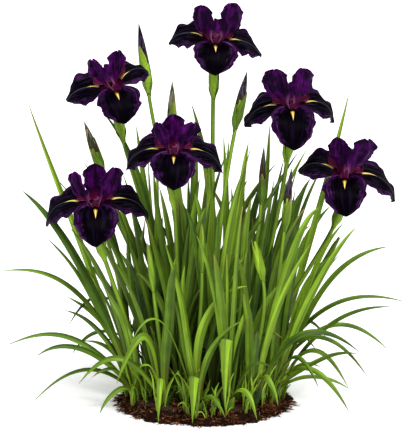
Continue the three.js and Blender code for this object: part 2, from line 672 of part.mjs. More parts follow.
// Soil: a low mound with a ragged rim and a lumpy face on a flat underside.
function soilSolid() {
  const face = [1, 0.92, 0.78, 0.5, 0.25, 0].map((share) => SOIL_RADIUS * share);
  const profile = [[0, 0], [SOIL_RADIUS, 0], ...face.map((r) => [r, soilFace(r, 0)])];
  const lathe = new THREE.LatheGeometry(profile.map(([r, z]) => new THREE.Vector2(r, z)), 24);
  lathe.rotateX(Math.PI / 2);
  const position = lathe.getAttribute("position");
  for (let i = 0; i < position.count; i++) {
    const [x, y, z] = [position.getX(i), position.getY(i), position.getZ(i)];
    const way = Math.atan2(y, x);
    const out = Math.hypot(x, y) / SOIL_RADIUS;
    const ragged = 1 + out ** 4 * (0.025 * Math.sin(5 * way + 1) + 0.035 * Math.sin(11 * way));
    const lump = 1.2 * Math.sin(x * 0.13 + 2 * Math.sin(y * 0.07)) * Math.cos(y * 0.15);
    position.setXYZ(i, x * ragged, y * ragged, z > SOIL_EDGE + 0.1 ? z + lump : z);
  }
  return solid(lathe);
}

// ---------------------------------------------------------------- assembly

const clump = new THREE.Group();
const standing = []; // what stands so far: its solid, the solid's box, and its shoot's number or 0

function stand(made, shoot) {
  standing.push({ shoot, made, box: made.boundingBox() });
}

const near = (a, b, i) => a.min[i] < b.max[i] + CLEAR && b.min[i] < a.max[i] + CLEAR;
const boxesMeet = (a, b) => [0, 1, 2].every((i) => near(a, b, i));

// Whether a leaf keeps clear of everything but its own shoot, into which it is fused.
function hangsClear(made, shoot) {
  const box = made.boundingBox();
  const others = standing.filter((s) => s.shoot !== shoot && boxesMeet(box, s.box));
  return others.every((s) => made.minGap(s.made, CLEAR) >= CLEAR);
}

// Blooms: purple petals in one node and crimson styles in another, placed by the bloom's own frame.
blooms.forEach((bloom, i) => {
  const number = i + 1;
  const matrix = bloomMatrix(bloom);
  const holder = new THREE.Group();
  holder.applyMatrix4(matrix);
  const petals = petalsSolid(bloom, number);
  const styles = stylesSolid(bloom);
  holder.add(meshOf(`bloom_${number}_petals`, petals, materials.petal));
  holder.add(meshOf(`bloom_${number}_styles`, styles, materials.style));
  clump.add(holder);
  stand(placed(petals, matrix), 0);
  stand(placed(styles, matrix), 0);
});

buds.forEach((bud, i) => {
  if (!bud.open) return;
  const made = budTip(bud, 0);
  clump.add(meshOf(`bud_${two(i + 1)}_petals`, made, materials.petal));
  stand(made, 0);
});

// Shoots: sheath and stem first, so that every leaf of every shoot keeps clear of them.
const soil = soilSolid();
const grown = shoots.map(({ at, bloom, bud }, i) => {
  const made = [sheath(at, 0)];
  if (bloom) made.push(bloomStem(blooms[bloom - 1], at, bloom));
  if (bud) made.push(budStem(buds[bud - 1], at, bud));
  made.forEach((one) => stand(one, i + 1));
  return made;
});
stand(soil, 0);
Object.values(rhizomes).forEach((runs) => stand(rhizomeSolid(runs, 0), 0));

shoots.forEach(({ at }, i) => {
  const number = i + 1;
  leafMakers(number, at).forEach((make, k) => {
    for (let attempt = 0; attempt < TRIES; attempt++) {
      const made = leaf(leafAt(at, make, k, attempt));
      if (made.boundingBox().min[2] < LOWEST || !hangsClear(made, number)) continue;
      grown[i].push(made);
      stand(made, number);
      return;
    }
  });
});
grown.forEach((made, i) => clump.add(meshOf(`shoot_${two(i + 1)}`, fused(made), materials.leaf)));

// Rhizomes take the feet of the shoots in pockets, and the soil takes both.
const feet = shoots.map(({ at }) => sheath(at, GAP));
Object.entries(rhizomes).forEach(([name, runs]) => {
  const made = feet.reduce((stock, foot) => stock.subtract(foot), rhizomeSolid(runs, 0));
  clump.add(meshOf(name, sound(made), materials.rhizome));
});
const pockets = Object.values(rhizomes).map((runs) => rhizomeSolid(runs, POCKET_GAP));
const dug = [...feet, ...pockets].reduce((all, one) => all.subtract(one), soil);
clump.add(meshOf("soil_patch", sound(dug), materials.soil));

export default clump;
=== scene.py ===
import math

import bpy
import numpy as np
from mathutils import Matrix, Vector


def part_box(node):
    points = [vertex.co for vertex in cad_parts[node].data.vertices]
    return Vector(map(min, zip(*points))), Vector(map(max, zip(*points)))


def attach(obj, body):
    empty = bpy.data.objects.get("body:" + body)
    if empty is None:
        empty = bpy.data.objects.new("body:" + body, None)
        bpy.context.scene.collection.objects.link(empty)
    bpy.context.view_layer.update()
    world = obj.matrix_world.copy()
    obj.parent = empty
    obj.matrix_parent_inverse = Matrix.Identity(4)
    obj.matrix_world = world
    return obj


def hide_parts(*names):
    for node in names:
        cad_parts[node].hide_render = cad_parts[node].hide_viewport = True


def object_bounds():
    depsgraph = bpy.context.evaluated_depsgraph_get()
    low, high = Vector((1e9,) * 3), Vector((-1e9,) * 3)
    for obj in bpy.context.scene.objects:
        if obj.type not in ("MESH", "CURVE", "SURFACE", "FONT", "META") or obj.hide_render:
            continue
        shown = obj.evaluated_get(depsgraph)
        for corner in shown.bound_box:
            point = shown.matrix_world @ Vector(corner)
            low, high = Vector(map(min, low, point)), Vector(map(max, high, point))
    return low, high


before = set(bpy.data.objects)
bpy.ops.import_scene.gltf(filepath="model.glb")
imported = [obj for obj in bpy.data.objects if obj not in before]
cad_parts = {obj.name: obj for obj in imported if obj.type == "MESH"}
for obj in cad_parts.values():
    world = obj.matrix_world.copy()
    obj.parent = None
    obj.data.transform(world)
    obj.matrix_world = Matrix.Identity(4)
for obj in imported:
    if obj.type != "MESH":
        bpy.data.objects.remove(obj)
cad_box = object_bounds()

# ---------------------------------------------------------------- soil
# Dark garden soil in which the clump stands: a low mound with a flat underside and a ragged rim. Its top
# is crumbly, and shredded bark mulch lies on it as chips and thin pale straws, some of it fallen over the
# rim. All sizes in this file are in mm.
MM = 0.001
SOIL_RADIUS = 128
SOIL_HEIGHT = 24
SOIL_EDGE = 3.5
SOIL_RINGS = 120
SOIL_SPOKES = 360
CLOD_SIZE = 13
CRUMB_SIZE = 5.5
GRAIN_SIZE = 2.4
CHIPS = 2600
RIM_CHIPS = 620
STRAWS = 420
CRUMBS = 4200
SHORTEST_CHIP = 4
COLOUR = {"data_type": "RGBA"}  # settings of a Mix node
EASED = {"interpolation_type": "SMOOTHSTEP"}  # and of a Map Range node that eases in and out


def linear(code):
    """A hex colour's sRGB parts c turned to linear: ((c + 0.055) / 1.055) ** 2.4, or c / 12.92 if dark."""
    parts = [int(code[i : i + 2], 16) / 255 for i in (1, 3, 5)]
    return [c / 12.92 if c <= 0.04045 else ((c + 0.055) / 1.055) ** 2.4 for c in parts] + [1.0]


def add(tree, kind, inputs=None, output=0, **settings):
    """Adds one shader node with its settings and gives back one of its outputs. Each input, by name or
    number, is linked to a socket or set to a value, and a hex colour is turned to linear."""
    made = tree.nodes.new("ShaderNode" + kind)
    for key, value in settings.items():
        setattr(made, key, value)
    for key, value in (inputs or {}).items():
        if isinstance(value, bpy.types.NodeSocket):
            tree.links.new(value, made.inputs[key])
        else:
            made.inputs[key].default_value = linear(value) if isinstance(value, str) else value
    return made.outputs[output]


def finish(name, constants):
    """A new material, its node tree and its Principled shader, which takes the constants."""
    material = bpy.data.materials.new(name)
    material.use_nodes = True
    tree = material.node_tree
    shader = tree.nodes["Principled BSDF"]
    for key, value in constants.items():
        shader.inputs[key].default_value = value
    return material, tree, shader


def smooth(x):
    """3 x² - 2 x³ of x held between 0 and 1."""
    x = np.clip(x, 0, 1)
    return x * x * (3 - 2 * x)


def noise(points, size, seed):
    """Value noise from -1 to 1: random values on a cubic grid of that size, blended smoothly between."""
    cell = np.asarray(points, float) / size + 100.0 + seed * 7.31
    base = np.floor(cell).astype(np.int64)
    part = smooth(cell - base)
    total = 0.0
    for corner in np.ndindex(2, 2, 2):
        key = base + corner
        mixed = key[..., 0] * 73856093 ^ key[..., 1] * 19349663 ^ key[..., 2] * 83492791 ^ seed * 2654435
        mixed = (mixed ^ mixed >> 13) * 1274126177 & 0xFFFFFFFF
        value = (mixed ^ mixed >> 16) % 65536 / 32768 - 1
        share = np.prod(np.where(corner, part, 1 - part), axis=-1)
        total = total + value * share
    return total


def grid_faces(rows, cols, around=False):
    """Quads over a grid of rows by cols points, numbered row by row, joined round each row if asked."""
    index = np.arange(rows * cols).reshape(rows, cols)
    if around:
        index = np.concatenate([index, index[:, :1]], axis=1)
    quads = [index[:-1, :-1], index[:-1, 1:], index[1:, 1:], index[1:, :-1]]
    return np.stack(quads, -1).reshape(-1, 4)


def merged(parts):
    """Several (points, faces, values) as one, with each part's faces numbered on from the last's."""
    starts = np.cumsum([0] + [len(points) for points, _, _ in parts])
    faces = {}
    for start, (_, groups, _) in zip(starts, parts):
        for group in groups:
            faces.setdefault(group.shape[1], []).append(group + start)
    values = {key: np.concatenate([part[2][key] for part in parts]) for key in parts[0][2]}
    return np.concatenate([part[0] for part in parts]), [np.concatenate(f) for f in faces.values()], values


def piece(name, parts, material, slot, *nodes):
    """One mesh object from parts, with their values as attributes. It stands for the CAD nodes named."""
    points, faces, values = merged(parts)
    mesh = bpy.data.meshes.new(name)
    mesh.vertices.add(len(points))
    mesh.vertices.foreach_set("co", (points * MM).astype(np.float32).ravel())
    corners = np.concatenate([group.ravel() for group in faces])
    sizes = np.concatenate([np.full(len(group), group.shape[1]) for group in faces])
    mesh.loops.add(len(corners))
    mesh.loops.foreach_set("vertex_index", corners.astype(np.int32))
    mesh.polygons.add(len(sizes))
    mesh.polygons.foreach_set("loop_start", (np.cumsum(sizes) - sizes).astype(np.int32))
    mesh.polygons.foreach_set("use_smooth", np.ones(len(sizes), bool))
    for key, value in values.items():
        mesh.attributes.new(key, "FLOAT", "POINT").data.foreach_set("value", value.astype(np.float32))
    mesh.update()
    mesh.materials.append(material)
    made = bpy.data.objects.new(name, mesh)
    bpy.context.scene.collection.objects.link(made)
    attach(made, "root")
    if nodes:
        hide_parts(*nodes)
    return made


def soil_face(x, y):
    """Height of the mound: edge + (height - edge) (1 - (r / radius) ** 3.4)."""
    out = np.hypot(x, y) / SOIL_RADIUS
    return SOIL_EDGE + (SOIL_HEIGHT - SOIL_EDGE) * (1 - out**3.4)


def mound():
    """The mound as a lathe of rings, each point moved out by a ragged rim and up by lumps and noise."""
    share = np.linspace(0.004, 1, SOIL_RINGS)[:, None]
    way = np.linspace(0, 2 * np.pi, SOIL_SPOKES, endpoint=False)[None, :]
    x, y = SOIL_RADIUS * share * np.cos(way), SOIL_RADIUS * share * np.sin(way)
    z = soil_face(x, y) + 1.2 * np.sin(x * 0.13 + 2 * np.sin(y * 0.07)) * np.cos(y * 0.15)
    flat = np.stack([x, y, 0 * x], -1)
    coarse, fine = noise(flat, CLOD_SIZE, 1), noise(flat, CRUMB_SIZE, 2)
    z = z + (1.8 * coarse + 1.7 * fine + 0.8 * noise(flat, GRAIN_SIZE, 3)) * smooth((1 - share) / 0.06)
    z = np.where(share == 1, 0.4, np.maximum(z, 1.0))
    ragged = 1 + share**4 * (0.025 * np.sin(5 * way + 1) + 0.035 * np.sin(11 * way))
    ragged = ragged + share**6 * (0.035 * coarse + 0.05 * fine)
    top = np.stack([x * ragged, y * ragged, z], -1)
    under = np.stack([top[-1, :, 0], top[-1, :, 1], 0 * way[0]], -1)
    shell = np.concatenate([top, under[None]])
    faces = [grid_faces(SOIL_RINGS + 1, SOIL_SPOKES, around=True)]
    count = (SOIL_RINGS + 1) * SOIL_SPOKES
    points = np.concatenate([shell.reshape(-1, 3), [[0, 0, top[0, :, 2].mean()], [0, 0, 0]]])
    ring = np.arange(SOIL_SPOKES)
    after = np.roll(ring, -1)
    faces.append(np.stack([after, ring, np.full(SOIL_SPOKES, count)], -1))
    last = ring + SOIL_RINGS * SOIL_SPOKES
    faces.append(np.stack([last, np.roll(last, -1), np.full(SOIL_SPOKES, count + 1)], -1))
    flipped = [group[:, ::-1] for group in faces]
    return points, flipped, {"tone": np.full(len(points), 0.12)}


def scattered(count, seed, inner, outer):
    """Random places on the mound as (x, y, z), even over the area between two shares of its radius."""
    lot = np.random.default_rng(seed)
    way = lot.uniform(0, 2 * np.pi, count)
    out = SOIL_RADIUS * np.sqrt(lot.uniform(inner**2, outer**2, count))
    x, y = out * np.cos(way), out * np.sin(way)
    return np.stack([x, y, np.maximum(soil_face(x, y), 1.2)], -1), lot


def chips(n, seed, inner, outer, longest, broadest, steepest, fanned=0):
    """Bark chips: bent slivers of four five-cornered rings, up to longest by broadest in size. Each is tipped
    from level by a normal draw of spread steepest, in radians. Their headings are random, and the more fanned
    they are the more they point away from the middle."""
    rings, sides = 4, 5
    places, lot = scattered(n, seed, inner, outer)
    length, broad = lot.uniform(SHORTEST_CHIP, longest, n), lot.uniform(1, broadest, n)
    thick = lot.uniform(0.6, 1.6, n)
    way, tip, roll = lot.uniform(-np.pi, np.pi, n), lot.normal(0, steepest, n), lot.normal(0, 0.4, n)
    way = np.arctan2(places[:, 1], places[:, 0]) + way * (1 - fanned)
    along = np.stack([np.cos(way) * np.cos(tip), np.sin(way) * np.cos(tip), np.sin(tip)], -1)
    side = np.stack([-np.sin(way), np.cos(way), 0 * way], -1)
    over = np.cross(along, side)
    side, over = (
        side * np.cos(roll)[:, None] + over * np.sin(roll)[:, None],
        over * np.cos(roll)[:, None] - side * np.sin(roll)[:, None],
    )
    stations = np.array([-0.5, -0.2, 0.2, 0.5])
    fat = np.array([0.35, 1.0, 0.85, 0.3])
    angles = np.arange(sides) / sides * 2 * np.pi
    jag = lot.uniform(0.75, 1.25, (n, rings, sides))
    a = stations[None, :, None] * length[:, None, None] * np.ones((1, 1, sides))
    b = fat[None, :, None] * np.cos(angles) * broad[:, None, None] / 2 * jag
    c = fat[None, :, None] * np.sin(angles) * thick[:, None, None] / 2 * jag
    c = c + 0.6 * stations[None, :, None] ** 2 * lot.normal(0, 2, n)[:, None, None]
    frames = [q[:, None, None, :] for q in (along, side, over)]
    points = places[:, None, None, :] + sum(k[..., None] * q for k, q in zip((a, b, c), frames))
    points[..., 2] = np.maximum(points[..., 2] + 0.9, 0.3)
    faces = grid_faces(rings, sides, around=True)
    ring = np.arange(sides)
    caps = np.stack([ring[::-1], ring + (rings - 1) * sides])
    start = np.arange(n)[:, None, None] * rings * sides
    tone = np.repeat(lot.uniform(0, 1, n) ** 1.3, rings * sides)
    faces = [(faces + start).reshape(-1, 4), (caps + start).reshape(-1, sides)]
    return points.reshape(-1, 3), faces, {"tone": tone}


def crumbs():
    """Crumbs of soil: little octahedra, each corner at its own distance."""
    places, lot = scattered(CRUMBS, 12, 0, 1.03)
    n = len(places)
    corners = np.array([[1, 0, 0], [0, 1, 0], [-1, 0, 0], [0, -1, 0], [0, 0, 1], [0, 0, -1]], float)
    size = lot.uniform(0.7, 2.6, n)[:, None, None] * lot.uniform(0.6, 1.3, (n, 6, 1))
    points = places[:, None, :] + corners[None] * size
    points[..., 2] = np.maximum(points[..., 2] + 0.4, 0.2)
    around = np.array([[0, 1], [1, 2], [2, 3], [3, 0]])
    top = np.concatenate([around, np.full((4, 1), 4)], axis=1)
    under = np.concatenate([around[:, ::-1], np.full((4, 1), 5)], axis=1)
    start = np.arange(n)[:, None, None] * 6
    faces = (np.concatenate([top, under]) + start).reshape(-1, 3)
    return points.reshape(-1, 3), [faces], {"tone": np.repeat(lot.uniform(0, 0.45, n), 6)}


# Moist garden soil and shredded bark: dark, rough and without gloss. The tone of each chip runs from
# nearly black soil to red-brown and tan bark, and the straws are tan. Coarse noise leaves some of it darker
# with damp.
soil_finish, tree, shader = finish("mulched_soil", {"Roughness": 0.95, "Specular IOR Level": 0.1})
place = add(tree, "TexCoord", output="Object")
tone = add(tree, "Attribute", output="Fac", attribute_name="tone")
damp = add(tree, "TexNoise", {"Vector": place, "Scale": 1 / (20 * MM), "Detail": 4})
damp = add(tree, "MapRange", {"Value": damp, "From Min": 0.35, "From Max": 0.65, "To Min": 0.45})
grain = add(tree, "TexNoise", {"Vector": place, "Scale": 1 / (1.6 * MM), "Detail": 3})
lit = add(tree, "MapRange", {"Value": tone, "From Min": 0.1, "From Max": 0.75})
earth = add(tree, "Mix", {0: lit, 6: "#140904", 7: "#6e3c1c"}, 2, **COLOUR)
pale = add(tree, "MapRange", {"Value": tone, "From Min": 0.78, "From Max": 1})
earth = add(tree, "Mix", {0: pale, 6: earth, 7: "#b4825a"}, 2, **COLOUR)
earth = add(tree, "VectorMath", {0: earth, "Scale": damp}, operation="SCALE")
bump = add(tree, "Bump", {"Height": grain, "Strength": 0.6, "Distance": 0.5 * MM})
tree.links.new(earth, shader.inputs["Base Color"])
tree.links.new(bump, shader.inputs["Normal"])

piece("soil_mound", [mound()], soil_finish, "soil", "soil_patch")
spread = chips(CHIPS, 11, inner=0, outer=1, longest=14, broadest=3.8, steepest=0.38)
fallen = chips(RIM_CHIPS, 13, inner=0.92, outer=1.07, longest=24, broadest=2, steepest=0.07, fanned=0.72)
straw = chips(STRAWS, 15, inner=0.4, outer=0.98, longest=20, broadest=1.3, steepest=0.5)
straw[2]["tone"] = 0.75 + 0.25 * straw[2]["tone"]
piece("bark_mulch", [spread, fallen, straw, crumbs()], soil_finish, "soil", "soil_patch")

# ---------------------------------------------------------------- rhizomes
# Creeping root stocks that lie half sunk in the soil, thick between their growth scars and blunt at the
# ends. Their skin is brown, ringed every few millimetres by the scars of old leaves, and dusty with soil.
RHIZOME_RADIUS = 9.5
RHIZOME_DEPTH = 2.5
SCAR_SPACING = 3.4
RHIZOMES = {
    "rhizome_left": [
        [[-112, -34], [-98, -45], [-78, -62], [-60, -80], [-46, -92]],
        [[-78, -62], [-55, -50], [-33, -44]],
    ],
    "rhizome_front": [
        [[-24, -92], [-12, -95], [12, -86], [35, -92], [56, -84], [74, -71]],
        [[12, -86], [16, -68], [14, -48]],
    ],
    "rhizome_right": [
        [[48, -30], [72, -34], [100, -35], [114, -30]],
        [[72, -34], [80, -14], [78, 6]],
    ],
    "rhizome_back_left": [
        [[-70, -8], [-86, 12], [-104, 21], [-116, 26]],
        [[-86, 12], [-78, 42], [-75, 74]],
        [[-78, 42], [-60, 46], [-44, 46]],
    ],
    "rhizome_middle": [[[-21, -2], [-6, 16], [16, 35], [34, 42], [51, 52]]],
    "rhizome_back": [[[-14, 87], [16, 86], [47, 95]]],
    "rhizome_far_right": [[[113, 4], [110, 24], [95, 46]]],
}
UP = np.array([0.0, 0.0, 1.0])


def unit(vectors):
    """Each vector divided by its own length."""
    return vectors / np.maximum(np.linalg.norm(vectors, axis=-1, keepdims=True), 1e-9)


def spline(knots, rows):
    """A Catmull-Rom curve through the knots, sampled evenly in its parameter."""
    ends = np.concatenate([[2 * knots[0] - knots[1]], knots, [2 * knots[-1] - knots[-2]]])
    t = np.linspace(0, len(knots) - 1, rows)
    k = np.minimum(t.astype(int), len(knots) - 2)
    f = (t - k)[:, None]
    a, b, c, d = ends[k], ends[k + 1], ends[k + 2], ends[k + 3]
    return 0.5 * (2 * b + (c - a) * f + (2 * a - 5 * b + 4 * c - d) * f**2 + (3 * b - a - 3 * c + d) * f**3)


def tube(line, radius, corner, sides, flat=1.0):
    """Rings round a line of points: line + radius (cos a e1 + flat sin a e2), closed by a point at each end.
    e1 is the corner direction made square to the line and e2 is square to both. radius is one number a
    ring, or one a point."""
    along = unit(np.gradient(line, axis=0))
    e1 = unit(corner - (along @ corner)[:, None] * along)
    e2 = np.cross(along, e1)
    a = np.arange(sides) / sides * 2 * np.pi
    radius = np.broadcast_to(np.reshape(radius, (len(line), -1)), (len(line), sides))[..., None]
    rings = line[:, None] + radius * (
        np.cos(a)[None, :, None] * e1[:, None] + flat * np.sin(a)[None, :, None] * e2[:, None]
    )
    points = np.concatenate([rings.reshape(-1, 3), line[:1], line[-1:]])
    rows, ring = len(line), np.arange(sides)
    first = np.stack([np.roll(ring, -1), ring, np.full(sides, rows * sides)], -1)
    last = np.stack([ring, np.roll(ring, -1), np.full(sides, rows * sides + sides + 1)], -1)
    last[:, :2] += (rows - 1) * sides
    last[:, 2] = rows * sides + 1
    return points, [grid_faces(rows, sides, around=True), first, last]


def lengths(line):
    """The distance along a line of points, in mm, from its first."""
    return np.concatenate([[0], np.cumsum(np.linalg.norm(np.diff(line, axis=0), axis=1))])


def root_stock(run):
    """A tube along a run of n points on the soil. Its radius goes as 0.88 + 0.12 cos(pi n t) and shrinks at
    both ends. Scars rise round it by 0.45 sin ** 3 of the distance along it, and its skin is uneven."""
    knots = np.array([[x, y, soil_face(x, y) - RHIZOME_DEPTH] for x, y in run], float)
    rows, sides = 40 * (len(run) - 1), 28
    line = spline(knots, rows)
    t = np.linspace(0, 1, rows)
    blunt = np.sqrt(np.maximum(0, 1 - (2 * np.abs(t - 0.5)) ** 8 * 0.9))
    scars = 0.45 * np.maximum(0, np.sin(lengths(line) / SCAR_SPACING * 2 * np.pi)) ** 3
    radius = (RHIZOME_RADIUS * (0.88 + 0.12 * np.cos(t * len(run) * np.pi)) + scars) * blunt
    points, faces = tube(line, radius, UP, sides)
    points[: rows * sides] += 0.35 * noise(points[: rows * sides], 4, 5)[:, None] * UP
    points[:, 2] = np.maximum(points[:, 2], 0.4)
    along = np.append(np.repeat(lengths(line), sides), [0, lengths(line)[-1]])
    return points, faces, {"along": along}


# Rhizome skin: dull brown cork, darker in the rings between the scars, with damp soil clinging to it.
rhizome_finish, tree, shader = finish("rhizome_skin", {"Roughness": 0.8, "Specular IOR Level": 0.25})
place = add(tree, "TexCoord", output="Object")
along = add(tree, "Attribute", output="Fac", attribute_name="along")
turns = add(tree, "Math", {0: along, 1: 2 * math.pi / SCAR_SPACING}, operation="MULTIPLY")
ring = add(tree, "MapRange", {"Value": add(tree, "Math", {0: turns}, operation="SINE"), "From Min": -1})
skin = add(tree, "Mix", {0: ring, 6: "#24140a", 7: "#503218"}, 2, **COLOUR)
dust = add(tree, "TexNoise", {"Vector": place, "Scale": 1 / (5 * MM), "Detail": 5})
dust = add(tree, "MapRange", {"Value": dust, "From Min": 0.38, "From Max": 0.55})
skin = add(tree, "Mix", {0: dust, 6: skin, 7: "#22120a"}, 2, **COLOUR)
fibre = add(tree, "TexNoise", {"Vector": place, "Scale": 1 / (1.2 * MM), "Detail": 4})
bump = add(tree, "Bump", {"Height": fibre, "Strength": 0.4, "Distance": 0.4 * MM})
tree.links.new(skin, shader.inputs["Base Color"])
tree.links.new(bump, shader.inputs["Normal"])

for name, runs in RHIZOMES.items():
    piece(name + "_stock", [root_stock(run) for run in runs], rhizome_finish, "rhizome", name)

# ---------------------------------------------------------------- leaves
# Sword leaves in fans, one fan to a shoot. A leaf is a thin blade with fine lengthwise veins and a low
# keel. It clasps its neighbours at the foot, and stands up or arches out and hangs.
FOOT_HEIGHT = 4.5
ROOT_HEIGHT = 11
LEAF_KEEL = 1.7
VEIN_SPACING = 1.3
STREAK_SPACING = 2.5
LEAVES_A_SHOOT = 5
ROOT_RING = 4.6
TRIES = 60
TIP_REACH = 0.2
FRONT_EDGE = -152
LISTED_HANGING_WIDTH = 1.15
DRAWN_HANGING_WIDTH = 0.8
BACKWARD = 0.4
BACKWARD_TURN = -40
HANGING_TURN = 8
DEPTH_STEP = 3
TIP_DEPTH_SHARE = 1.3
LEAF_ROWS = 34
LEAF_COLUMNS = 11
FOOT_ROWS = 5
SHOOTS = [
    [-60, -80], [-12, -95], [35, -92], [72, -72], [-98, -45], [-35, -45], [14, -50],
    [50, -30], [100, -35], [-72, -5], [-20, 0], [78, 5], [112, 6], [-105, 20],
    [-45, 45], [15, 35], [50, 52], [96, 44], [-75, 72], [-12, 88], [46, 94],
]  # fmt: skip
# Leaves that give the clump its outline: shoot, bow, tip, width, whether it hangs, degrees, and its tone,
# from 0 for an old dark leaf to 1 for a young yellow-green one.
CHOSEN_LEAVES = [
    [14, [-185, 30, 232], [-266, 40, 463], 11, False, 0, 0.7],
    [5, [-190, -35, 271], [-274, -20, 330], 14, False, 15, 0.15],
    [14, [-165, 20, 178], [-239, 20, 254], 8, False, 30, 0.35],
    [14, [-182, 15, 225], [-304, 10, 203], 11, True, 20, 0.45],
    [5, [-146, -20, 136], [-212, 0, 145], 8, True, 30, 0.2],
    [5, [-187, -10, 146], [-295, -20, 96], 11, True, 20, 0.25],
    [5, [-181, -60, 138], [-248, -75, 93], 12, True, 20, 0.2],
    [5, [-174, -40, 106], [-255, -30, 12], 9, True, 15, 0.3],
    [5, [-132, -80, 66], [-155, -100, 9], 8, True, 30, 0.4],
    [1, [-78, -90, 212], [-129, -120, 60], 12, True, 50, 0.55],
    [1, [-62, -95, 148], [-40, -95, 250], 16, False, 0, 0.5],
    [1, [-66, -118, 115], [-67, -146, 8], 10, True, 0, 0.65],
    [2, [-22, -100, 194], [64, -100, 205], 14, False, 0, 0.75],
    [2, [-14, -138, 128], [-17, -141, 7], 14, True, 0, 0.65],
    [3, [24, -85, 193], [60, -80, 247], 12, False, 10, 0.5],
    [3, [30, -140, 236], [31, -140, 24], 16, True, 0, 0.6],
    [3, [58, -115, 82], [78, -134, 10], 9, True, 20, 0.65],
    [8, [77, -80, 161], [110, -80, 202], 13, False, 0, 0.45],
    [4, [93, -104, 110], [109, -124, 28], 10, True, 20, 0.5],
    [2, [15, -120, 58], [31, -134, 14], 7, True, 20, 0.5],
    [18, [180, 30, 297], [220, 30, 473], 11, False, 0, 0.8],
    [9, [161, -40, 217], [228, -40, 283], 12, False, 10, 0.6],
    [13, [173, 0, 235], [280, 10, 241], 10, True, 30, 0.4],
    [18, [170, 20, 194], [306, 30, 151], 10, True, 20, 0.35],
    [13, [176, -10, 156], [282, -20, 155], 9, True, 25, 0.25],
    [18, [195, 10, 176], [279, 0, 83], 10, True, 20, 0.4],
    [9, [166, -40, 94], [229, -50, 90], 9, True, 25, 0.35],
    [9, [163, -50, 77], [217, -60, 38], 8, True, 20, 0.4],
    [12, [120, 0, 292], [160, 0, 348], 14, False, -10, 0.2],
    [4, [125, -70, 292], [171, -60, 315], 14, False, 10, 0.5],
    [15, [-64, 50, 341], [-155, 50, 442], 12, False, 0, 0.2],
    [15, [-90, 60, 319], [-103, 60, 420], 11, False, 20, 0.4],
    [16, [27, 60, 319], [-20, 60, 454], 14, False, 0, 0.5],
    [16, [43, 40, 261], [29, 40, 408], 11, False, -20, 0.65],
    [17, [27, 60, 257], [39, 60, 403], 10, False, 20, 0.65],
    [7, [48, 10, 313], [67, 10, 402], 14, False, 10, 0.7],
    [17, [94, 40, 292], [99, 40, 426], 11, False, -10, 0.7],
    [8, [71, -60, 190], [60, -60, 320], 14, False, 0, 0.2],
    [6, [-28, -30, 244], [-6, -30, 355], 14, False, 15, 0.45],
    [10, [-111, -30, 183], [-115, -30, 273], 12, False, 0, 0.2],
    [11, [18, -20, 242], [6, -20, 394], 16, False, 0, 0.75],
    [11, [-63, 0, 223], [-76, 0, 363], 14, False, -15, 0.45],
    [8, [87, -30, 229], [104, -30, 353], 11, False, 20, 0.2],
]


def foot_of(shoot):
    """Where a shoot stands on its rhizome."""
    x, y = SHOOTS[shoot - 1]
    return np.array([x, y, soil_face(x, y) - RHIZOME_DEPTH + FOOT_HEIGHT])


def series(seed):
    """Random draws of a linear congruential series: state = (state * 1664525 + 1013904223) mod 2 ** 32."""
    state = (seed * 7919 + 12345) % 4294967296

    def draw(low, high):
        nonlocal state
        state = (state * 1664525 + 1013904223) % 4294967296
        return low + (high - low) * state / 4294967296

    return draw


def chosen_leaf(row, root, attempt):
    """A leaf as listed, or with its depth shifted by ever more until it hangs clear."""
    _, bow, tip, width, hangs, degrees, tone = row
    shift = math.ceil(attempt / 2) * DEPTH_STEP * (1 if attempt % 2 else -1)
    bow = np.array([bow[0], bow[1] + shift, bow[2]], float)
    tip = np.array([tip[0], tip[1] + shift * TIP_DEPTH_SHARE, tip[2]], float)
    shape = {"root": root, "bow": bow, "tip": tip, "width": width * (LISTED_HANGING_WIDTH if hangs else 1)}
    return shape | {"hangs": hangs, "degrees": degrees, "tone": tone}


def drawn_leaf(shoot, root, seed):
    """A leaf by lot: an upright sword or, more often at the clump's rim, one that arches out and hangs."""
    draw = series(seed)
    x, y = SHOOTS[shoot - 1]
    rim = math.hypot(x, y) / SOIL_RADIUS
    way = math.atan2(y, x) + math.radians(draw(-75, 75)) / (0.5 + rim)
    hangs = draw(0, 1) < 0.62 * rim - 0.1
    span = draw(90, 180) if hangs else draw(10, 55) + 75 * rim
    tall = draw(20, 150) if hangs else draw(190, 400) - 60 * rim
    crest = draw(1, 1.5) * (60 + tall * 0.8) if hangs else tall * draw(0.6, 0.75)
    early = draw(0.4, 0.55) if hangs else draw(0.15, 0.35)
    out = np.array([math.cos(way), math.sin(way), 0])
    reach = min(span, (root[1] - FRONT_EDGE) / -out[1]) if out[1] < 0 else span
    tip = np.array([root[0], root[1], max(10, tall)]) + out * reach
    bow = root + UP * crest + out * (reach * early)
    width = draw(11, 16) * (DRAWN_HANGING_WIDTH if hangs else 1)
    degrees = draw(0, 35) if hangs else draw(-50, 50)
    tone = draw(0.1, 0.75) * (0.7 if hangs else 1)
    shape = {"root": root, "bow": bow, "tip": tip, "width": width}
    return shape | {"hangs": hangs, "degrees": degrees, "tone": tone}


def heading(leaf):
    """The compass angle, in radians, from a leaf's root to its tip."""
    return math.atan2(leaf["tip"][1] - leaf["root"][1], leaf["tip"][0] - leaf["root"][0])


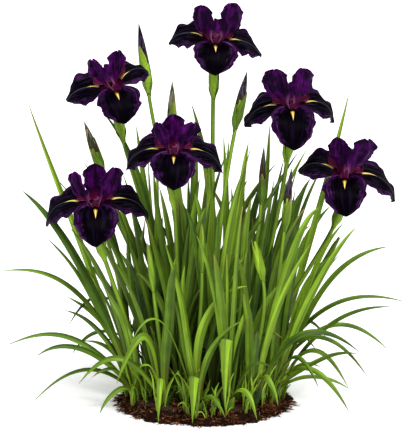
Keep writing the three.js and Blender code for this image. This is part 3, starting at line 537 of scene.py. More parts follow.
def leaf_at(shoot, make, k, attempt):
    """The k-th leaf of a shoot, its root moved off the stem to the side that the leaf leans to. An upright
    leaf turns its face to the front, give or take its own degrees. A hanging one is turned a little from
    level, or the other way where it heads to the back, so that it isn't seen on edge."""
    root = foot_of(shoot) + UP * ROOT_HEIGHT
    way = heading(make(root, attempt))
    side = k % 3 - 1
    out = np.array([math.cos(way), math.sin(way), 0])
    across = np.array([-math.sin(way), math.cos(way), 0])
    leaf = make(root + ROOT_RING * out + 2 * side * across, attempt)
    leaf["foot"] = foot_of(shoot) + 2.5 * out + side * across
    leaf["dry"] = 0.9 * (attempt % 3 == 1)
    way = heading(leaf)
    if leaf["hangs"]:
        more = BACKWARD_TURN if math.sin(way) > BACKWARD else leaf["degrees"] + HANGING_TURN
        leaf["turn"] = math.copysign(1, math.cos(way)) * more
    else:
        leaf["turn"] = 90 - math.degrees(way) + leaf["degrees"]
    return leaf


def leaf_outline(t):
    """Half the width as a share of the greatest: sheathing foot, parallel sides and a long point."""
    return (0.34 + 0.62 * np.sin(np.pi / 2 * np.minimum(1, t / 0.4))) * (1 - t**4)


def bezier(start, control, end, t):
    """A quadratic Bezier curve at each t: (1 - t)² start + 2 t (1 - t) control + t² end."""
    t = t[:, None]
    return (1 - t) ** 2 * start + 2 * t * (1 - t) * control + t**2 * end


def sheet(points, normals, thickness, **values):
    """A closed skin round a grid of middle points, half the thickness off them along their normals on either
    side, with its rim joined. Each value is given for the grid."""
    rows, cols = points.shape[:2]
    half = normals * np.broadcast_to(thickness, (rows, cols))[..., None] / 2
    both = np.concatenate([(points + half).reshape(-1, 3), (points - half).reshape(-1, 3)])
    count = rows * cols
    index = np.arange(count).reshape(rows, cols)
    quads = grid_faces(rows, cols)
    rim = np.concatenate([index[:-1, 0], index[-1, :-1], index[:0:-1, -1], index[0, :0:-1]])
    after = np.roll(rim, -1)
    walls = np.stack([after, rim, rim + count, after + count], -1)
    faces = np.concatenate([quads[:, ::-1], quads + count, walls])
    spread = {key: np.tile(np.broadcast_to(value, (rows, cols)).ravel(), 2) for key, value in values.items()}
    return both, [faces], spread


def turned(vectors, about, angle):
    """Vectors square to unit axes, turned about them: v cos a + (axis x v) sin a."""
    return vectors * np.cos(angle)[:, None] + np.cross(about, vectors) * np.sin(angle)[:, None]


def sword_leaf(leaf, number, rows, cols):
    """The middle line is a quadratic Bezier curve from root towards bow to tip, and a shorter one joins it to
    the foot. Across it the blade is level, turned by a fixed angle and a slight twist, and its middle is
    raised to a keel of 0.75 keel (1 - |v| ** 1.4) and veined by small waves."""
    draw = series(90000 + number)
    twist, sway, phase = math.copysign(draw(0, 14), leaf["turn"]), draw(-2.5, 2.5), draw(0, 6.28)
    root, bow, tip, foot = leaf["root"], leaf["bow"], leaf["tip"], leaf["foot"]
    t = np.linspace(0, 0.995, rows)
    knee = root - unit(bow - root) * (0.5 * np.linalg.norm(root - foot))
    below = bezier(foot, knee, root, np.linspace(0, 1, FOOT_ROWS, endpoint=False))
    line = np.concatenate([below, bezier(root, bow, tip, t)])
    along = unit(np.gradient(line, axis=0))
    foot_t = np.linspace(-0.12, 0, FOOT_ROWS, endpoint=False)
    t = np.concatenate([foot_t, t])
    way = heading(leaf)
    level = np.array([-math.sin(way), math.cos(way), 0])
    side = unit(level - (along @ level)[:, None] * along)
    side = turned(side, along, np.radians(leaf["turn"] + twist * t**2))
    line = line + side * (sway * np.sin(2 * np.pi * t + phase) * t * (1 - t) * 4)[:, None]
    v = np.linspace(-1, 1, cols)[None, :]
    half = leaf["width"] / 2 * leaf_outline(t)
    t = np.maximum(t, 0)
    keel = LEAF_KEEL * (1 - 0.4 * t)
    rise = keel[:, None] * 0.75 * (1 - np.abs(v) ** 1.4) + 0.07 * np.cos(v * 4 * np.pi)
    rib = np.cross(along, side)
    points = line[:, None] + side[:, None] * (v * half[:, None])[..., None] + rib[:, None] * rise[..., None]
    normals = np.broadcast_to(rib[:, None], points.shape)
    t, half = t[:, None], half[:, None]
    thickness = 0.28 + 0.75 * (1 - v**2) * (1 - 0.5 * t)
    dry = leaf["dry"] * t**14
    return sheet(points, normals, thickness, along=t, across=v * half, tone=leaf["tone"], dry=dry)


# Living leaf blade: a soft satin skin with fine veins and long light and dark streaks, between yellow-green
# when young and deep green when old, with painted shade on one side of the keel and a painted highlight on
# the other, yellow at its foot and tan where its tip is dry. Low in the heart of the clump the blades are
# painted darker, as shade.
leaf_finish, tree, shader = finish("living_leaf", {"Roughness": 0.5, "IOR": 1.42, "Specular IOR Level": 0.22})
place = add(tree, "TexCoord", output="Object")
along = add(tree, "Attribute", output="Fac", attribute_name="along")
across = add(tree, "Attribute", output="Fac", attribute_name="across")
tone = add(tree, "Attribute", output="Fac", attribute_name="tone")
dry = add(tree, "Attribute", output="Fac", attribute_name="dry")
cloud = add(tree, "TexNoise", {"Vector": place, "Scale": 1 / (30 * MM), "Detail": 3})
cloud = add(tree, "Math", {0: cloud, 1: 0.5}, operation="SUBTRACT")
cloud = add(tree, "Math", {0: cloud, 1: 0.5}, operation="MULTIPLY")
shift = add(tree, "Math", {0: tone, 1: cloud}, operation="ADD")
green = add(tree, "Mix", {0: shift, 6: "#163a04", 7: "#90b62c"}, 2, **COLOUR)
foot = add(tree, "MapRange", {"Value": along, "From Max": 0.22, "To Min": 0.8, "To Max": 0})
green = add(tree, "Mix", {0: foot, 6: green, 7: "#868a2a"}, 2, **COLOUR)
stripe = add(tree, "Math", {0: across, 1: 2 * math.pi / VEIN_SPACING}, operation="MULTIPLY")
stripe = add(tree, "Math", {0: stripe}, operation="SINE")
veins = add(tree, "MapRange", {"Value": stripe, "From Min": -1, "To Min": 0.82, "To Max": 1.08})
# Painted light and shade: the blade is darker on one side of its keel and lighter on the other.
half = add(tree, "MapRange", {"Value": across, "From Min": -1, "To Min": 0.64, "To Max": 1.14}, **EASED)
light = add(tree, "Math", {0: veins, 1: half}, operation="MULTIPLY")
streaks = add(tree, "CombineXYZ", {0: across, 1: along, 2: tone})
streaks = add(tree, "VectorMath", {0: streaks, 1: (1 / STREAK_SPACING, 3, 40)}, operation="MULTIPLY")
streaks = add(tree, "TexNoise", {"Vector": streaks, "Scale": 1, "Detail": 2})
contrast = {"From Min": 0.3, "From Max": 0.7, "To Min": 0.66, "To Max": 1.24}
streaks = add(tree, "MapRange", {"Value": streaks} | contrast)
light = add(tree, "Math", {0: light, 1: streaks}, operation="MULTIPLY")
# Painted shade: low down in the middle of the clump the blades are mixed towards dark green, as the shade
# among the leaves.
out = add(tree, "VectorMath", {0: place, 1: (1, 1, 0)}, operation="MULTIPLY")
out = add(tree, "VectorMath", {0: out}, "Value", operation="LENGTH")
inner = add(tree, "MapRange", {"Value": out, "From Min": 122 * MM, "From Max": 60 * MM}, **EASED)
up = add(tree, "SeparateXYZ", {0: place}, "Z")
low = add(tree, "MapRange", {"Value": up, "From Min": 300 * MM, "From Max": 50 * MM, "To Max": 0.82})
painted_clump_shade = add(tree, "Math", {0: inner, 1: low}, operation="MULTIPLY")
green = add(tree, "Mix", {0: painted_clump_shade, 6: green, 7: "#0d2c03"}, 2, **COLOUR)
green = add(tree, "Mix", {0: dry, 6: green, 7: "#a8884c"}, 2, **COLOUR)
green = add(tree, "VectorMath", {0: green, "Scale": light}, operation="SCALE")
bump = add(tree, "Bump", {"Height": stripe, "Strength": 0.35, "Distance": 0.12 * MM})
tree.links.new(green, shader.inputs["Base Color"])
tree.links.new(bump, shader.inputs["Normal"])

# A shoot's CAD node has a corner at the tip of each of its leaves, so the first try whose tip meets one is
# the leaf that stands there.
blades = {number: [] for number in range(1, len(SHOOTS) + 1)}
for shoot in blades:
    corners = np.array([v.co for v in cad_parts[f"shoot_{shoot:02d}"].data.vertices]) / MM
    rows = [row for row in CHOSEN_LEAVES if row[0] == shoot]
    for k in range(max(LEAVES_A_SHOOT, len(rows) + 1)):
        for attempt in range(TRIES):
            if k < len(rows):
                leaf = leaf_at(shoot, lambda root, a: chosen_leaf(rows[k], root, a), k, attempt)
            else:
                seed = shoot * 1000 + (k - len(rows)) * 100
                leaf = leaf_at(shoot, lambda root, a: drawn_leaf(shoot, root, seed + a), k, attempt)
            if np.abs(corners - leaf["tip"]).max(axis=1).min() < TIP_REACH:
                blades[shoot].append(leaf)
                break

leaf_count = 0
for shoot, found in blades.items():
    parts = []
    for leaf in found:
        leaf_count += 1
        parts.append(sword_leaf(leaf, leaf_count, LEAF_ROWS, LEAF_COLUMNS))
    piece(f"shoot_{shoot:02d}_leaves", parts, leaf_finish, "leaf", f"shoot_{shoot:02d}")

# ---------------------------------------------------------------- stems
# Flower stems: round, firm and waxy, one in the middle of a fan. Each rises straight and then leans to carry
# its flower. At the top a spathe of two pointed green valves clasps the ovary, or the foot of a bud.
STEM_RADIUS = 3.6
OVARY_LENGTH = 84
OVARY_SWELL = 3.4
CUP_FOOT = -9.4
SPATHE_LENGTH = 64
OUTER_SPATHE_LENGTH = 52
OUTER_VALVE_DROP = 4
STEM_ROWS = 70
STEM_SIDES = 16
RIGHT = np.array([1.0, 0.0, 0.0])
# Each open bloom: its shoot, where its throat is, and how far it is turned, nods and rolls, in degrees.
BLOOM_PLACES = [
    {"shoot": 16, "at": [16, 30, 547], "turn": 2, "nod": 14, "roll": 2},
    {"shoot": 15, "at": [-136, 30, 478], "turn": 16, "nod": 20, "roll": -5},
    {"shoot": 12, "at": [129, -20, 456], "turn": 2, "nod": 13, "roll": 0},
    {"shoot": 6, "at": [-44, -70, 397], "turn": 0, "nod": 14, "roll": 0},
    {"shoot": 5, "at": [-160, -60, 317], "turn": 3, "nod": 13, "roll": 0},
    {"shoot": 18, "at": [211, 10, 348], "turn": -3, "nod": 14, "roll": -4},
]
# Each bud: its shoot, foot and tip, greatest width, how ripe and dark its petals are, or 0 where none show
# yet, and its spathe's tone.
BUDS = [
    {"shoot": 20, "foot": [-85, 118, 459], "tip": [-100, 118, 569], "width": 16, "ripe": 1, "tone": 0.75},
    {"shoot": 11, "foot": [-48, 0, 400], "tip": [-47, 0, 495], "width": 15, "ripe": 0.15, "tone": 0.45},
    {"shoot": 7, "foot": [46, -50, 430], "tip": [63, -50, 516], "width": 15, "ripe": 0.9, "tone": 0.35},
    {"shoot": 10, "foot": [-150, 0, 353], "tip": [-179, 0, 435], "width": 15, "ripe": 0.35, "tone": 0.3},
    {"shoot": 8, "foot": [85, -20, 315], "tip": [89, -20, 401], "width": 11, "ripe": 0.7, "tone": 0.3},
    {"shoot": 9, "foot": [119, -52, 281], "tip": [129, -52, 373], "width": 13, "ripe": 0.95, "tone": 0.6},
    {"shoot": 4, "foot": [86, -90, 213], "tip": [73, -92, 276], "width": 13, "ripe": 0, "tone": 0.9},
    {"shoot": 1, "foot": [-74, -82, 191], "tip": [-82, -82, 271], "width": 10, "ripe": 0, "tone": 0.5},
    {"shoot": 2, "foot": [-3, -92, 223], "tip": [-4, -92, 300], "width": 9, "ripe": 0, "tone": 0.6},
    {"shoot": 13, "foot": [170, 0, 195], "tip": [206, 0, 265], "width": 9, "ripe": 0, "tone": 0.4},
]


def turning(axis, degrees):
    """The matrix of a turn about x, y or z."""
    c, s = math.cos(math.radians(degrees)), math.sin(math.radians(degrees))
    if axis == "x":
        return np.array([[1, 0, 0], [0, c, -s], [0, s, c]])
    if axis == "y":
        return np.array([[c, 0, s], [0, 1, 0], [-s, 0, c]])
    return np.array([[c, -s, 0], [s, c, 0], [0, 0, 1]])


def bloom_turn(bloom):
    """A bloom's own frame: turned about its stem, then rolled to its right, then nodded to the front."""
    return turning("x", bloom["nod"]) @ turning("y", bloom["roll"]) @ turning("z", bloom["turn"])


def stem_line(foot, top, axis, t):
    """A cubic Bezier curve that leaves the foot straight up and arrives at the top along the axis."""
    tall = top[2] - foot[2]
    knots = [foot, foot + UP * (tall * 0.4), top - axis * (tall * 0.3), top]
    t = t[:, None]
    shares = [(1 - t) ** 3, 3 * t * (1 - t) ** 2, 3 * t**2 * (1 - t), t**3]
    return sum(share * knot for share, knot in zip(shares, knots))


def round_stem(line, radius, tone):
    """A round tube along the line, with values for its finish."""
    points, faces = tube(line, radius, RIGHT, STEM_SIDES)
    rows = len(line)
    angle = np.arange(STEM_SIDES) / STEM_SIDES * 2 * np.pi
    across = np.append(np.tile(np.sin(3 * angle), rows), [0, 0])
    along = np.append(np.repeat(np.linspace(0.3, 0.9, rows), STEM_SIDES), [0.3, 0.9])
    zero = np.zeros(len(points))
    return points, faces, {"along": along, "across": across, "tone": zero + tone, "dry": zero}


def valve(foot, axis, length, waist, belly, wrap, lean, way, tone, dry=1.0, rows=30, cols=17):
    """A pointed blade that clasps an axis. At the share s of its length its radius grows from waist to belly
    and shrinks a little again, it reaches wrap (1 - s ** 2.6) round on either side, and it leans off by
    lean s². way is the compass angle of its back."""
    s = np.linspace(0, 0.99, rows)[:, None]
    v = np.linspace(-1, 1, cols)[None, :]
    back = np.array([math.cos(math.radians(way)), math.sin(math.radians(way)), 0])
    e1 = unit(back - (back @ axis) * axis)
    e2 = np.cross(axis, e1)
    radius = waist + (belly - waist) * smooth(s / 0.35) - 0.16 * belly * s**3
    angle = np.radians(wrap) * (1 - s**2.6) * v
    outward = np.cos(angle)[..., None] * e1 + np.sin(angle)[..., None] * e2
    ribs = 0.12 * np.cos(v * 5 * np.pi) * (1 - s)
    points = foot + axis * (length * s)[..., None] + e1 * (lean * s**2)[..., None]
    points = points + outward * (radius + ribs)[..., None]
    thickness = 0.25 + 0.6 * (1 - v**2) * (1 - 0.6 * s)
    values = {"along": 0.3 + 0.6 * s, "across": v * wrap / 15, "tone": tone, "dry": dry * s**8}
    return sheet(points, outward, thickness, **values)


def furled_outline(s):
    """A bud's radius as a share of its greatest, from its foot at 0 to its tip at 1."""
    return (0.42 + 0.58 * smooth(s / 0.4)) * (1 - np.maximum(0, (s - 0.4) / 0.6) ** 1.7)


stems = {number: [] for number in blades}
stem_lines = []
bloom_frames = []
for number, bloom in enumerate(BLOOM_PLACES, 1):
    frame_turn = bloom_turn(bloom)
    bloom_frames.append((frame_turn, np.array(bloom["at"], float)))
    axis = frame_turn @ UP
    top = np.array(bloom["at"]) + axis * CUP_FOOT
    foot = foot_of(bloom["shoot"]) + UP * ROOT_HEIGHT
    t = np.linspace(0, 1, STEM_ROWS)
    line = stem_line(foot, top, axis, t)
    stem_lines.append(line)
    flare = OVARY_LENGTH / lengths(line)[-1]
    up = (t - 1 + flare) / flare
    radius = STEM_RADIUS - 0.5 * t + OVARY_SWELL * smooth(up / 0.3) * (1 - 0.4 * smooth((up - 0.5) / 0.5))
    parts = stems[bloom["shoot"]]
    parts.append(round_stem(line, radius, 0.55))
    join, above = stem_line(foot, top, axis, np.array([1 - flare, 1 - 0.5 * flare]))
    rising = unit(above - join)
    way = 200 + number * 40
    outer = join - rising * OUTER_VALVE_DROP
    parts.append(valve(join, rising, SPATHE_LENGTH, 3.2, 7.4, 100, 2.5, way, 0.8, dry=0.6))
    parts.append(valve(outer, rising, OUTER_SPATHE_LENGTH, 3.4, 8.2, 105, 2.0, way + 180, 0.62, dry=0.6))

for number, bud in enumerate(BUDS, 1):
    tip, base = np.array(bud["tip"], float), np.array(bud["foot"], float)
    axis = unit(tip - base)
    length = np.linalg.norm(tip - base)
    foot = foot_of(bud["shoot"]) + UP * ROOT_HEIGHT
    t = np.linspace(0, 1, STEM_ROWS)
    line = stem_line(foot, base, axis, t)
    parts = stems[bud["shoot"]]
    parts.append(round_stem(line, STEM_RADIUS - 0.9 * t, 0.5))
    waist, belly = 0.21 * bud["width"], bud["width"] / 2
    way = 190 + number * 50
    s = np.linspace(0, 0.9 if not bud["ripe"] else 0.5, 24)
    core = base + axis * (s * length)[:, None]
    stem_lines.extend([line, core])
    parts.append(round_stem(core, belly * furled_outline(s) * 0.93, bud["tone"]))
    reach = 0.68 if bud["ripe"] else 0.97
    lean = 0.1 if bud["ripe"] else -1.5
    parts.append(valve(base, axis, reach * length, waist, belly, 110, lean, way, bud["tone"], dry=0.5))
    outer, reach = base - axis * OUTER_VALVE_DROP, reach - 0.12
    tone = bud["tone"] - 0.1
    parts.append(valve(outer, axis, reach * length, waist, belly + 0.5, 105, lean, way + 180, tone))

for shoot, parts in stems.items():
    if parts:
        piece(f"shoot_{shoot:02d}_stem", parts, leaf_finish, "leaf", f"shoot_{shoot:02d}")

# Short sheaths, each the stump of an old leaf, clasp the foot of every fan and dry from their tips.
SHEATHS_A_SHOOT = 4
sheaths = []
for shoot in blades:
    draw = series(4000 + shoot)
    for k in range(SHEATHS_A_SHOOT):
        way, tall, belly, tone = draw(0, 360), draw(20, 46), draw(6.5, 8.5), draw(0, 0.5)
        axis = unit(np.array([math.cos(math.radians(way)), math.sin(math.radians(way)), 4]))
        foot = foot_of(shoot) - UP * 5
        sheaths.append(valve(foot, axis, tall, 5.5, belly, 75, draw(2, 6), way, tone, dry=draw(0.3, 1)))
piece("basal_sheaths", sheaths, leaf_finish, "leaf")

# ---------------------------------------------------------------- young leaves
# Slimmer leaves that fill the fans, and tufts of short shoots at the clump's foot. All are drawn by lot. One
# in a fan stands only where it keeps off flowers, stems and older leaves, and where it hides no flower, bud
# or stem's top from the front.
YOUNG_LEAVES = 16
YOUNG_TRIES = 90
YOUNG_HEIGHTS = 110, 390
YOUNG_ROWS = 24
YOUNG_COLUMNS = 7
TUFTS = 120
TUFT_LEAVES = 4
TUFT_HEIGHTS = 20, 85
TUFT_ROWS = 14
TUFT_COLUMNS = 5
CELL = 2.6
LEAF_SPACING = 2.1  # in cells
BOX_MARGIN = 3
FLOWER_MARGIN = 4
STEM_SHOWN = 70
VIEW_FROM = math.radians(11)  # the camera looks down on the clump by so much
low, high = [np.array(corner) / MM for corner in cad_box]
taken = np.zeros(((high - low) / CELL).astype(int) + 12, bool)
reach = np.array(list(np.ndindex(5, 5, 5))) - 2
BALL = reach[np.linalg.norm(reach, axis=1) <= LEAF_SPACING]


def cells(points):
    """The cells of the space round the clump that points lie in."""
    return np.clip(((points - low) / CELL).round().astype(int) + 4, 2, np.array(taken.shape) - 3)


def take(points):
    """Marks the cells round points as taken."""
    x, y, z = (cells(points)[:, None] + BALL).reshape(-1, 3).T
    taken[x, y, z] = True


def middle_line(leaf, count=90):
    """Points along the middle of a leaf."""
    return bezier(leaf["root"], leaf["bow"], leaf["tip"], np.linspace(0, 1, count))


def young_leaf(place, seed, shortest, tallest):
    """A leaf by lot from a foot: an upright sword, or now and then a slim one that arches over."""
    draw = series(seed)
    x, y = place
    foot = np.array([x, y, soil_face(x, y) - 2])
    rim = math.hypot(x, y) / SOIL_RADIUS
    way = math.atan2(y, x) + math.radians(draw(-150, 150)) / (0.6 + rim)
    out = np.array([math.cos(way), math.sin(way), 0])
    hangs = draw(0, 1) < 0.1
    tall = draw(shortest, tallest) * (1 - 0.2 * rim) * (0.62 if hangs else 1)
    span = tall * (draw(0.4, 0.7) if hangs else draw(0.05, 0.42) + 0.1 * rim)
    root = foot + UP * (2 + 0.04 * tall) + out * draw(2, 7)
    tip = root + UP * tall * (draw(0.3, 0.6) if hangs else 1) + out * span
    bow = root + UP * tall * draw(0.55, 0.75) + out * span * (0.35 if hangs else draw(0.1, 0.3))
    turn = math.copysign(draw(10, 45), out[0]) if hangs else 90 - math.degrees(way) + draw(-60, 60)
    tone = 0.06 + 0.72 * draw(0, 1) ** 1.1
    return {
        "root": root, "bow": bow, "tip": tip, "foot": foot + 2 * out, "turn": turn, "tone": tone,
        "width": draw(0.65, 1) * min(15, 4 + tall / 18), "dry": 0.9 * (draw(0, 1) < 0.25),
    }  # fmt: skip


def screened(points):
    """Where points stand as seen from the front and a little above: across, and up."""
    up = points[:, 2] * math.cos(VIEW_FROM) + points[:, 1] * math.sin(VIEW_FROM)
    return np.stack([points[:, 0], up], -1)


def stands_free(leaf):
    """Whether a leaf keeps inside the clump's box, off what stands, and out of the boxes of the flowers, buds
    and stem tops, and doesn't pass before one of them as seen from the front."""
    line = middle_line(leaf)
    if (line < low + BOX_MARGIN).any() or (line > high - BOX_MARGIN).any():
        return False
    x, y, z = cells(line[len(line) // 4 :]).T
    if taken[x, y, z].any():
        return False
    seen = screened(line)
    for under, over in flower_boxes:
        if ((line > under - FLOWER_MARGIN) & (line < over + FLOWER_MARGIN)).all(axis=1).any():
            return False
        corners = screened(np.array([under, over]))
        covers = (seen > corners[0]).all(axis=1) & (seen < corners[1]).all(axis=1)
        if (covers & (line[:, 1] < (under[1] + over[1]) / 2)).any():
            return False
    return True


flowers = [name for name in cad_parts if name.endswith("_petals")]
flower_boxes = [np.array(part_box(name)) / MM for name in flowers]
for bud in BUDS:
    ends = np.array([bud["foot"], bud["tip"]])
    flower_boxes.append([ends.min(axis=0) - bud["width"] / 2, ends.max(axis=0) + bud["width"] / 2])
for found in blades.values():
    for leaf in found:
        take(middle_line(leaf))
for line in stem_lines:
    take(line)
    top = line[line[:, 2] > line[:, 2].max() - STEM_SHOWN]
    flower_boxes.append([top.min(axis=0) - STEM_RADIUS, top.max(axis=0) + STEM_RADIUS])

for shoot, place in enumerate(SHOOTS, 1):
    parts = []
    for attempt in range(YOUNG_TRIES):
        leaf = young_leaf(place, 500000 + shoot * 1000 + attempt, *YOUNG_HEIGHTS)
        if len(parts) < YOUNG_LEAVES and stands_free(leaf):
            take(middle_line(leaf))
            parts.append(sword_leaf(leaf, 1000 * shoot + attempt, YOUNG_ROWS, YOUNG_COLUMNS))
    piece(f"shoot_{shoot:02d}_young_leaves", parts, leaf_finish, "leaf")

parts = []
draw = series(77)
for tuft in range(TUFTS):
    way, out = draw(0, 2 * math.pi), SOIL_RADIUS * (0.35 + 0.57 * math.sqrt(draw(0, 1)))
    place = [out * math.cos(way), out * math.sin(way)]
    for k in range(TUFT_LEAVES):
        leaf = young_leaf(place, 700000 + tuft * 10 + k, *TUFT_HEIGHTS)
        leaf["tone"] = 0.4 + 0.6 * leaf["tone"]
        leaf["width"] *= 0.7
        parts.append(sword_leaf(leaf, 30000 + tuft * 10 + k, TUFT_ROWS, TUFT_COLUMNS))
piece("young_shoots", parts, leaf_finish, "leaf")

# ---------------------------------------------------------------- bud petals
# Dark petals of the open buds, furled round each other into a pointed twist.
BUD_SPLIT = 0.42
BUD_ROWS = 50
BUD_SIDES = 30


def furled_petals(bud):
    """The bud's spindle from split to tip: radius outline (1 + 0.07 cos(3 a + 5 s) ** 3), a loose twist."""
    tip, base = np.array(bud["tip"], float), np.array(bud["foot"], float)
    s = BUD_SPLIT + (0.995 - BUD_SPLIT) * np.linspace(0, 1, BUD_ROWS)
    line = base + (tip - base) * s[:, None]
    angle = np.arange(BUD_SIDES) / BUD_SIDES * 2 * np.pi
    folds = 1 + 0.07 * np.cos(3 * angle[None, :] + 5 * s[:, None]) ** 3
    radius = bud["width"] / 2 * 0.95 * furled_outline(s)[:, None] * folds
    points, faces = tube(line, radius, RIGHT, BUD_SIDES)
    along = np.append(np.repeat(s, BUD_SIDES), [s[0], s[-1]])
    return points, faces, {"along": along, "ripe": np.full(len(along), bud["ripe"])}


# Young petal skin: dusky violet, nearly black, once ripe, olive before, streaked along its folds, with a dry
# tan fleck here and there and greener at the spathe.
bud_finish, tree, shader = finish("furled_petal", {"Roughness": 0.55, "IOR": 1.4, "Specular IOR Level": 0.12})
place = add(tree, "TexCoord", output="Object")
along = add(tree, "Attribute", output="Fac", attribute_name="along")
ripe = add(tree, "Attribute", output="Fac", attribute_name="ripe")
drawn = add(tree, "VectorMath", {0: place, 1: (1, 1, 0.15)}, operation="MULTIPLY")
streak = add(tree, "TexNoise", {"Vector": drawn, "Scale": 1 / (2.6 * MM), "Detail": 3})
streak = add(tree, "MapRange", {"Value": streak, "From Min": 0.42, "From Max": 0.6}, **EASED)
drawn = add(tree, "VectorMath", {0: place, 1: (1, 1, 0.4)}, operation="MULTIPLY")
fleck = add(tree, "TexNoise", {"Vector": drawn, "Scale": 1 / (7 * MM), "Detail": 2})
fleck = add(tree, "MapRange", {"Value": fleck, "From Min": 0.6, "From Max": 0.68, "To Max": 0.7}, **EASED)
dark = add(tree, "Mix", {0: ripe, 6: "#34361c", 7: "#140a1a"}, 2, **COLOUR)
light = add(tree, "Mix", {0: ripe, 6: "#6e7048", 7: "#3c2e48"}, 2, **COLOUR)
skin = add(tree, "Mix", {0: streak, 6: dark, 7: light}, 2, **COLOUR)
skin = add(tree, "Mix", {0: fleck, 6: skin, 7: "#8a7864"}, 2, **COLOUR)
up = add(tree, "MapRange", {"Value": along, "From Min": 0.5, "From Max": 0.62}, **EASED)
skin = add(tree, "Mix", {0: up, 6: "#2e2418", 7: skin}, 2, **COLOUR)
tree.links.new(skin, shader.inputs["Base Color"])

for number, bud in enumerate(BUDS, 1):
    if bud["ripe"]:
        parts = [furled_petals(bud)]
        piece(f"bud_{number:02d}_furled", parts, bud_finish, "petal", f"bud_{number:02d}_petals")

# ---------------------------------------------------------------- blooms
# Open blooms of three falls and three standards joined at a short cup. Falls are velvety and nearly black,
# with violet margins and a yellow signal at the throat. Standards are silkier, purple and ruffled.
FALL_LENGTH = 86
FALL_HALF_WIDTH = 33
SIDE_FALL_HALF_WIDTH = 29
STANDARD_LENGTH = 70
FALL_WAYS = [-90, 25, 155]
STANDARD_WAYS = [90, 210, 330]
PETAL_ROWS = 60
PETAL_COLUMNS = 41
# Each bloom: falls to the front, back right and back left as [rise, droop, share of the length, twist], and
# standards to the back, front left and front right as [rise, droop, share of the length, half width, twist].
BLOOM_PETALS = [
    {
        "falls": [[28, -86, 0.81, 0], [16, -62, 1.02, 30], [40, -62, 0.93, -28]],
        "standards": [[34, 0, 0.8, 17, 0], [50, 98, 0.97, 15, 44], [42, 108, 1.06, 18, -44]],
    },
    {
        "falls": [[28, -82, 0.84, 0], [56, -54, 0.86, 14], [26, -58, 0.9, -34]],
        "standards": [[24, -10, 0.8, 15, 0], [54, 76, 1, 12, 40], [86, 78, 0.92, 14, -50]],
    },
    {
        "falls": [[28, -94, 1.02, 0], [30, -84, 1.05, 30], [16, -76, 1.02, -34]],
        "standards": [[34, 0, 0.8, 17, 0], [46, 92, 1.06, 20, 44], [66, 92, 0.97, 18, -44]],
    },
    {
        "falls": [[28, -88, 0.87, 0], [16, -80, 1.12, 32], [18, -76, 1.08, -34]],
        "standards": [[86, 70, 0.8, 16, 0], [54, 84, 0.82, 13, 36], [54, 70, 0.88, 15, -36]],
    },
    {
        "falls": [[28, -92, 0.97, 0], [26, -76, 1.18, 32], [20, -82, 1.18, -34]],
        "standards": [[86, 74, 0.88, 17, 0], [46, 78, 1, 12, 40], [50, 84, 1.06, 17, -40]],
    },
    {
        "falls": [[28, -90, 0.95, 0], [8, -84, 1.24, 32], [54, -60, 0.98, -30]],
        "standards": [[44, 10, 0.8, 16, 0], [84, 94, 0.93, 16, 46], [52, 70, 1.1, 20, -40]],
    },
]


def rounded(u, start, cut, power):
    """The share of a petal's width left as its end closes: 1 - cut ((u - start) / (1 - start)) ** power."""
    past = np.maximum(0, (u - start) / (1 - start))
    return np.maximum(0, 1 - cut * past**power)


def fall_outline(u):
    """Half a fall's width as a share of its greatest: broad shoulders at the throat and a shield's point."""
    return (0.1 + 0.9 * smooth((u + 0.05) / 0.42)) * rounded(u, 0.38, 0.98, 2.1) ** 0.64


def side_fall_outline(u):
    """As a fall's, but it tapers to a narrow tip."""
    return (0.1 + 0.9 * smooth((u + 0.05) / 0.42)) * rounded(u, 0.45, 0.95, 1.8) ** 0.8


def standard_outline(u):
    """Half a standard's width as a share of its greatest: a narrower claw, then a broad rounded blade."""
    return (0.7 + 0.3 * smooth((u - 0.26) / 0.4)) * rounded(u, 0.66, 0.97, 3) ** 0.6


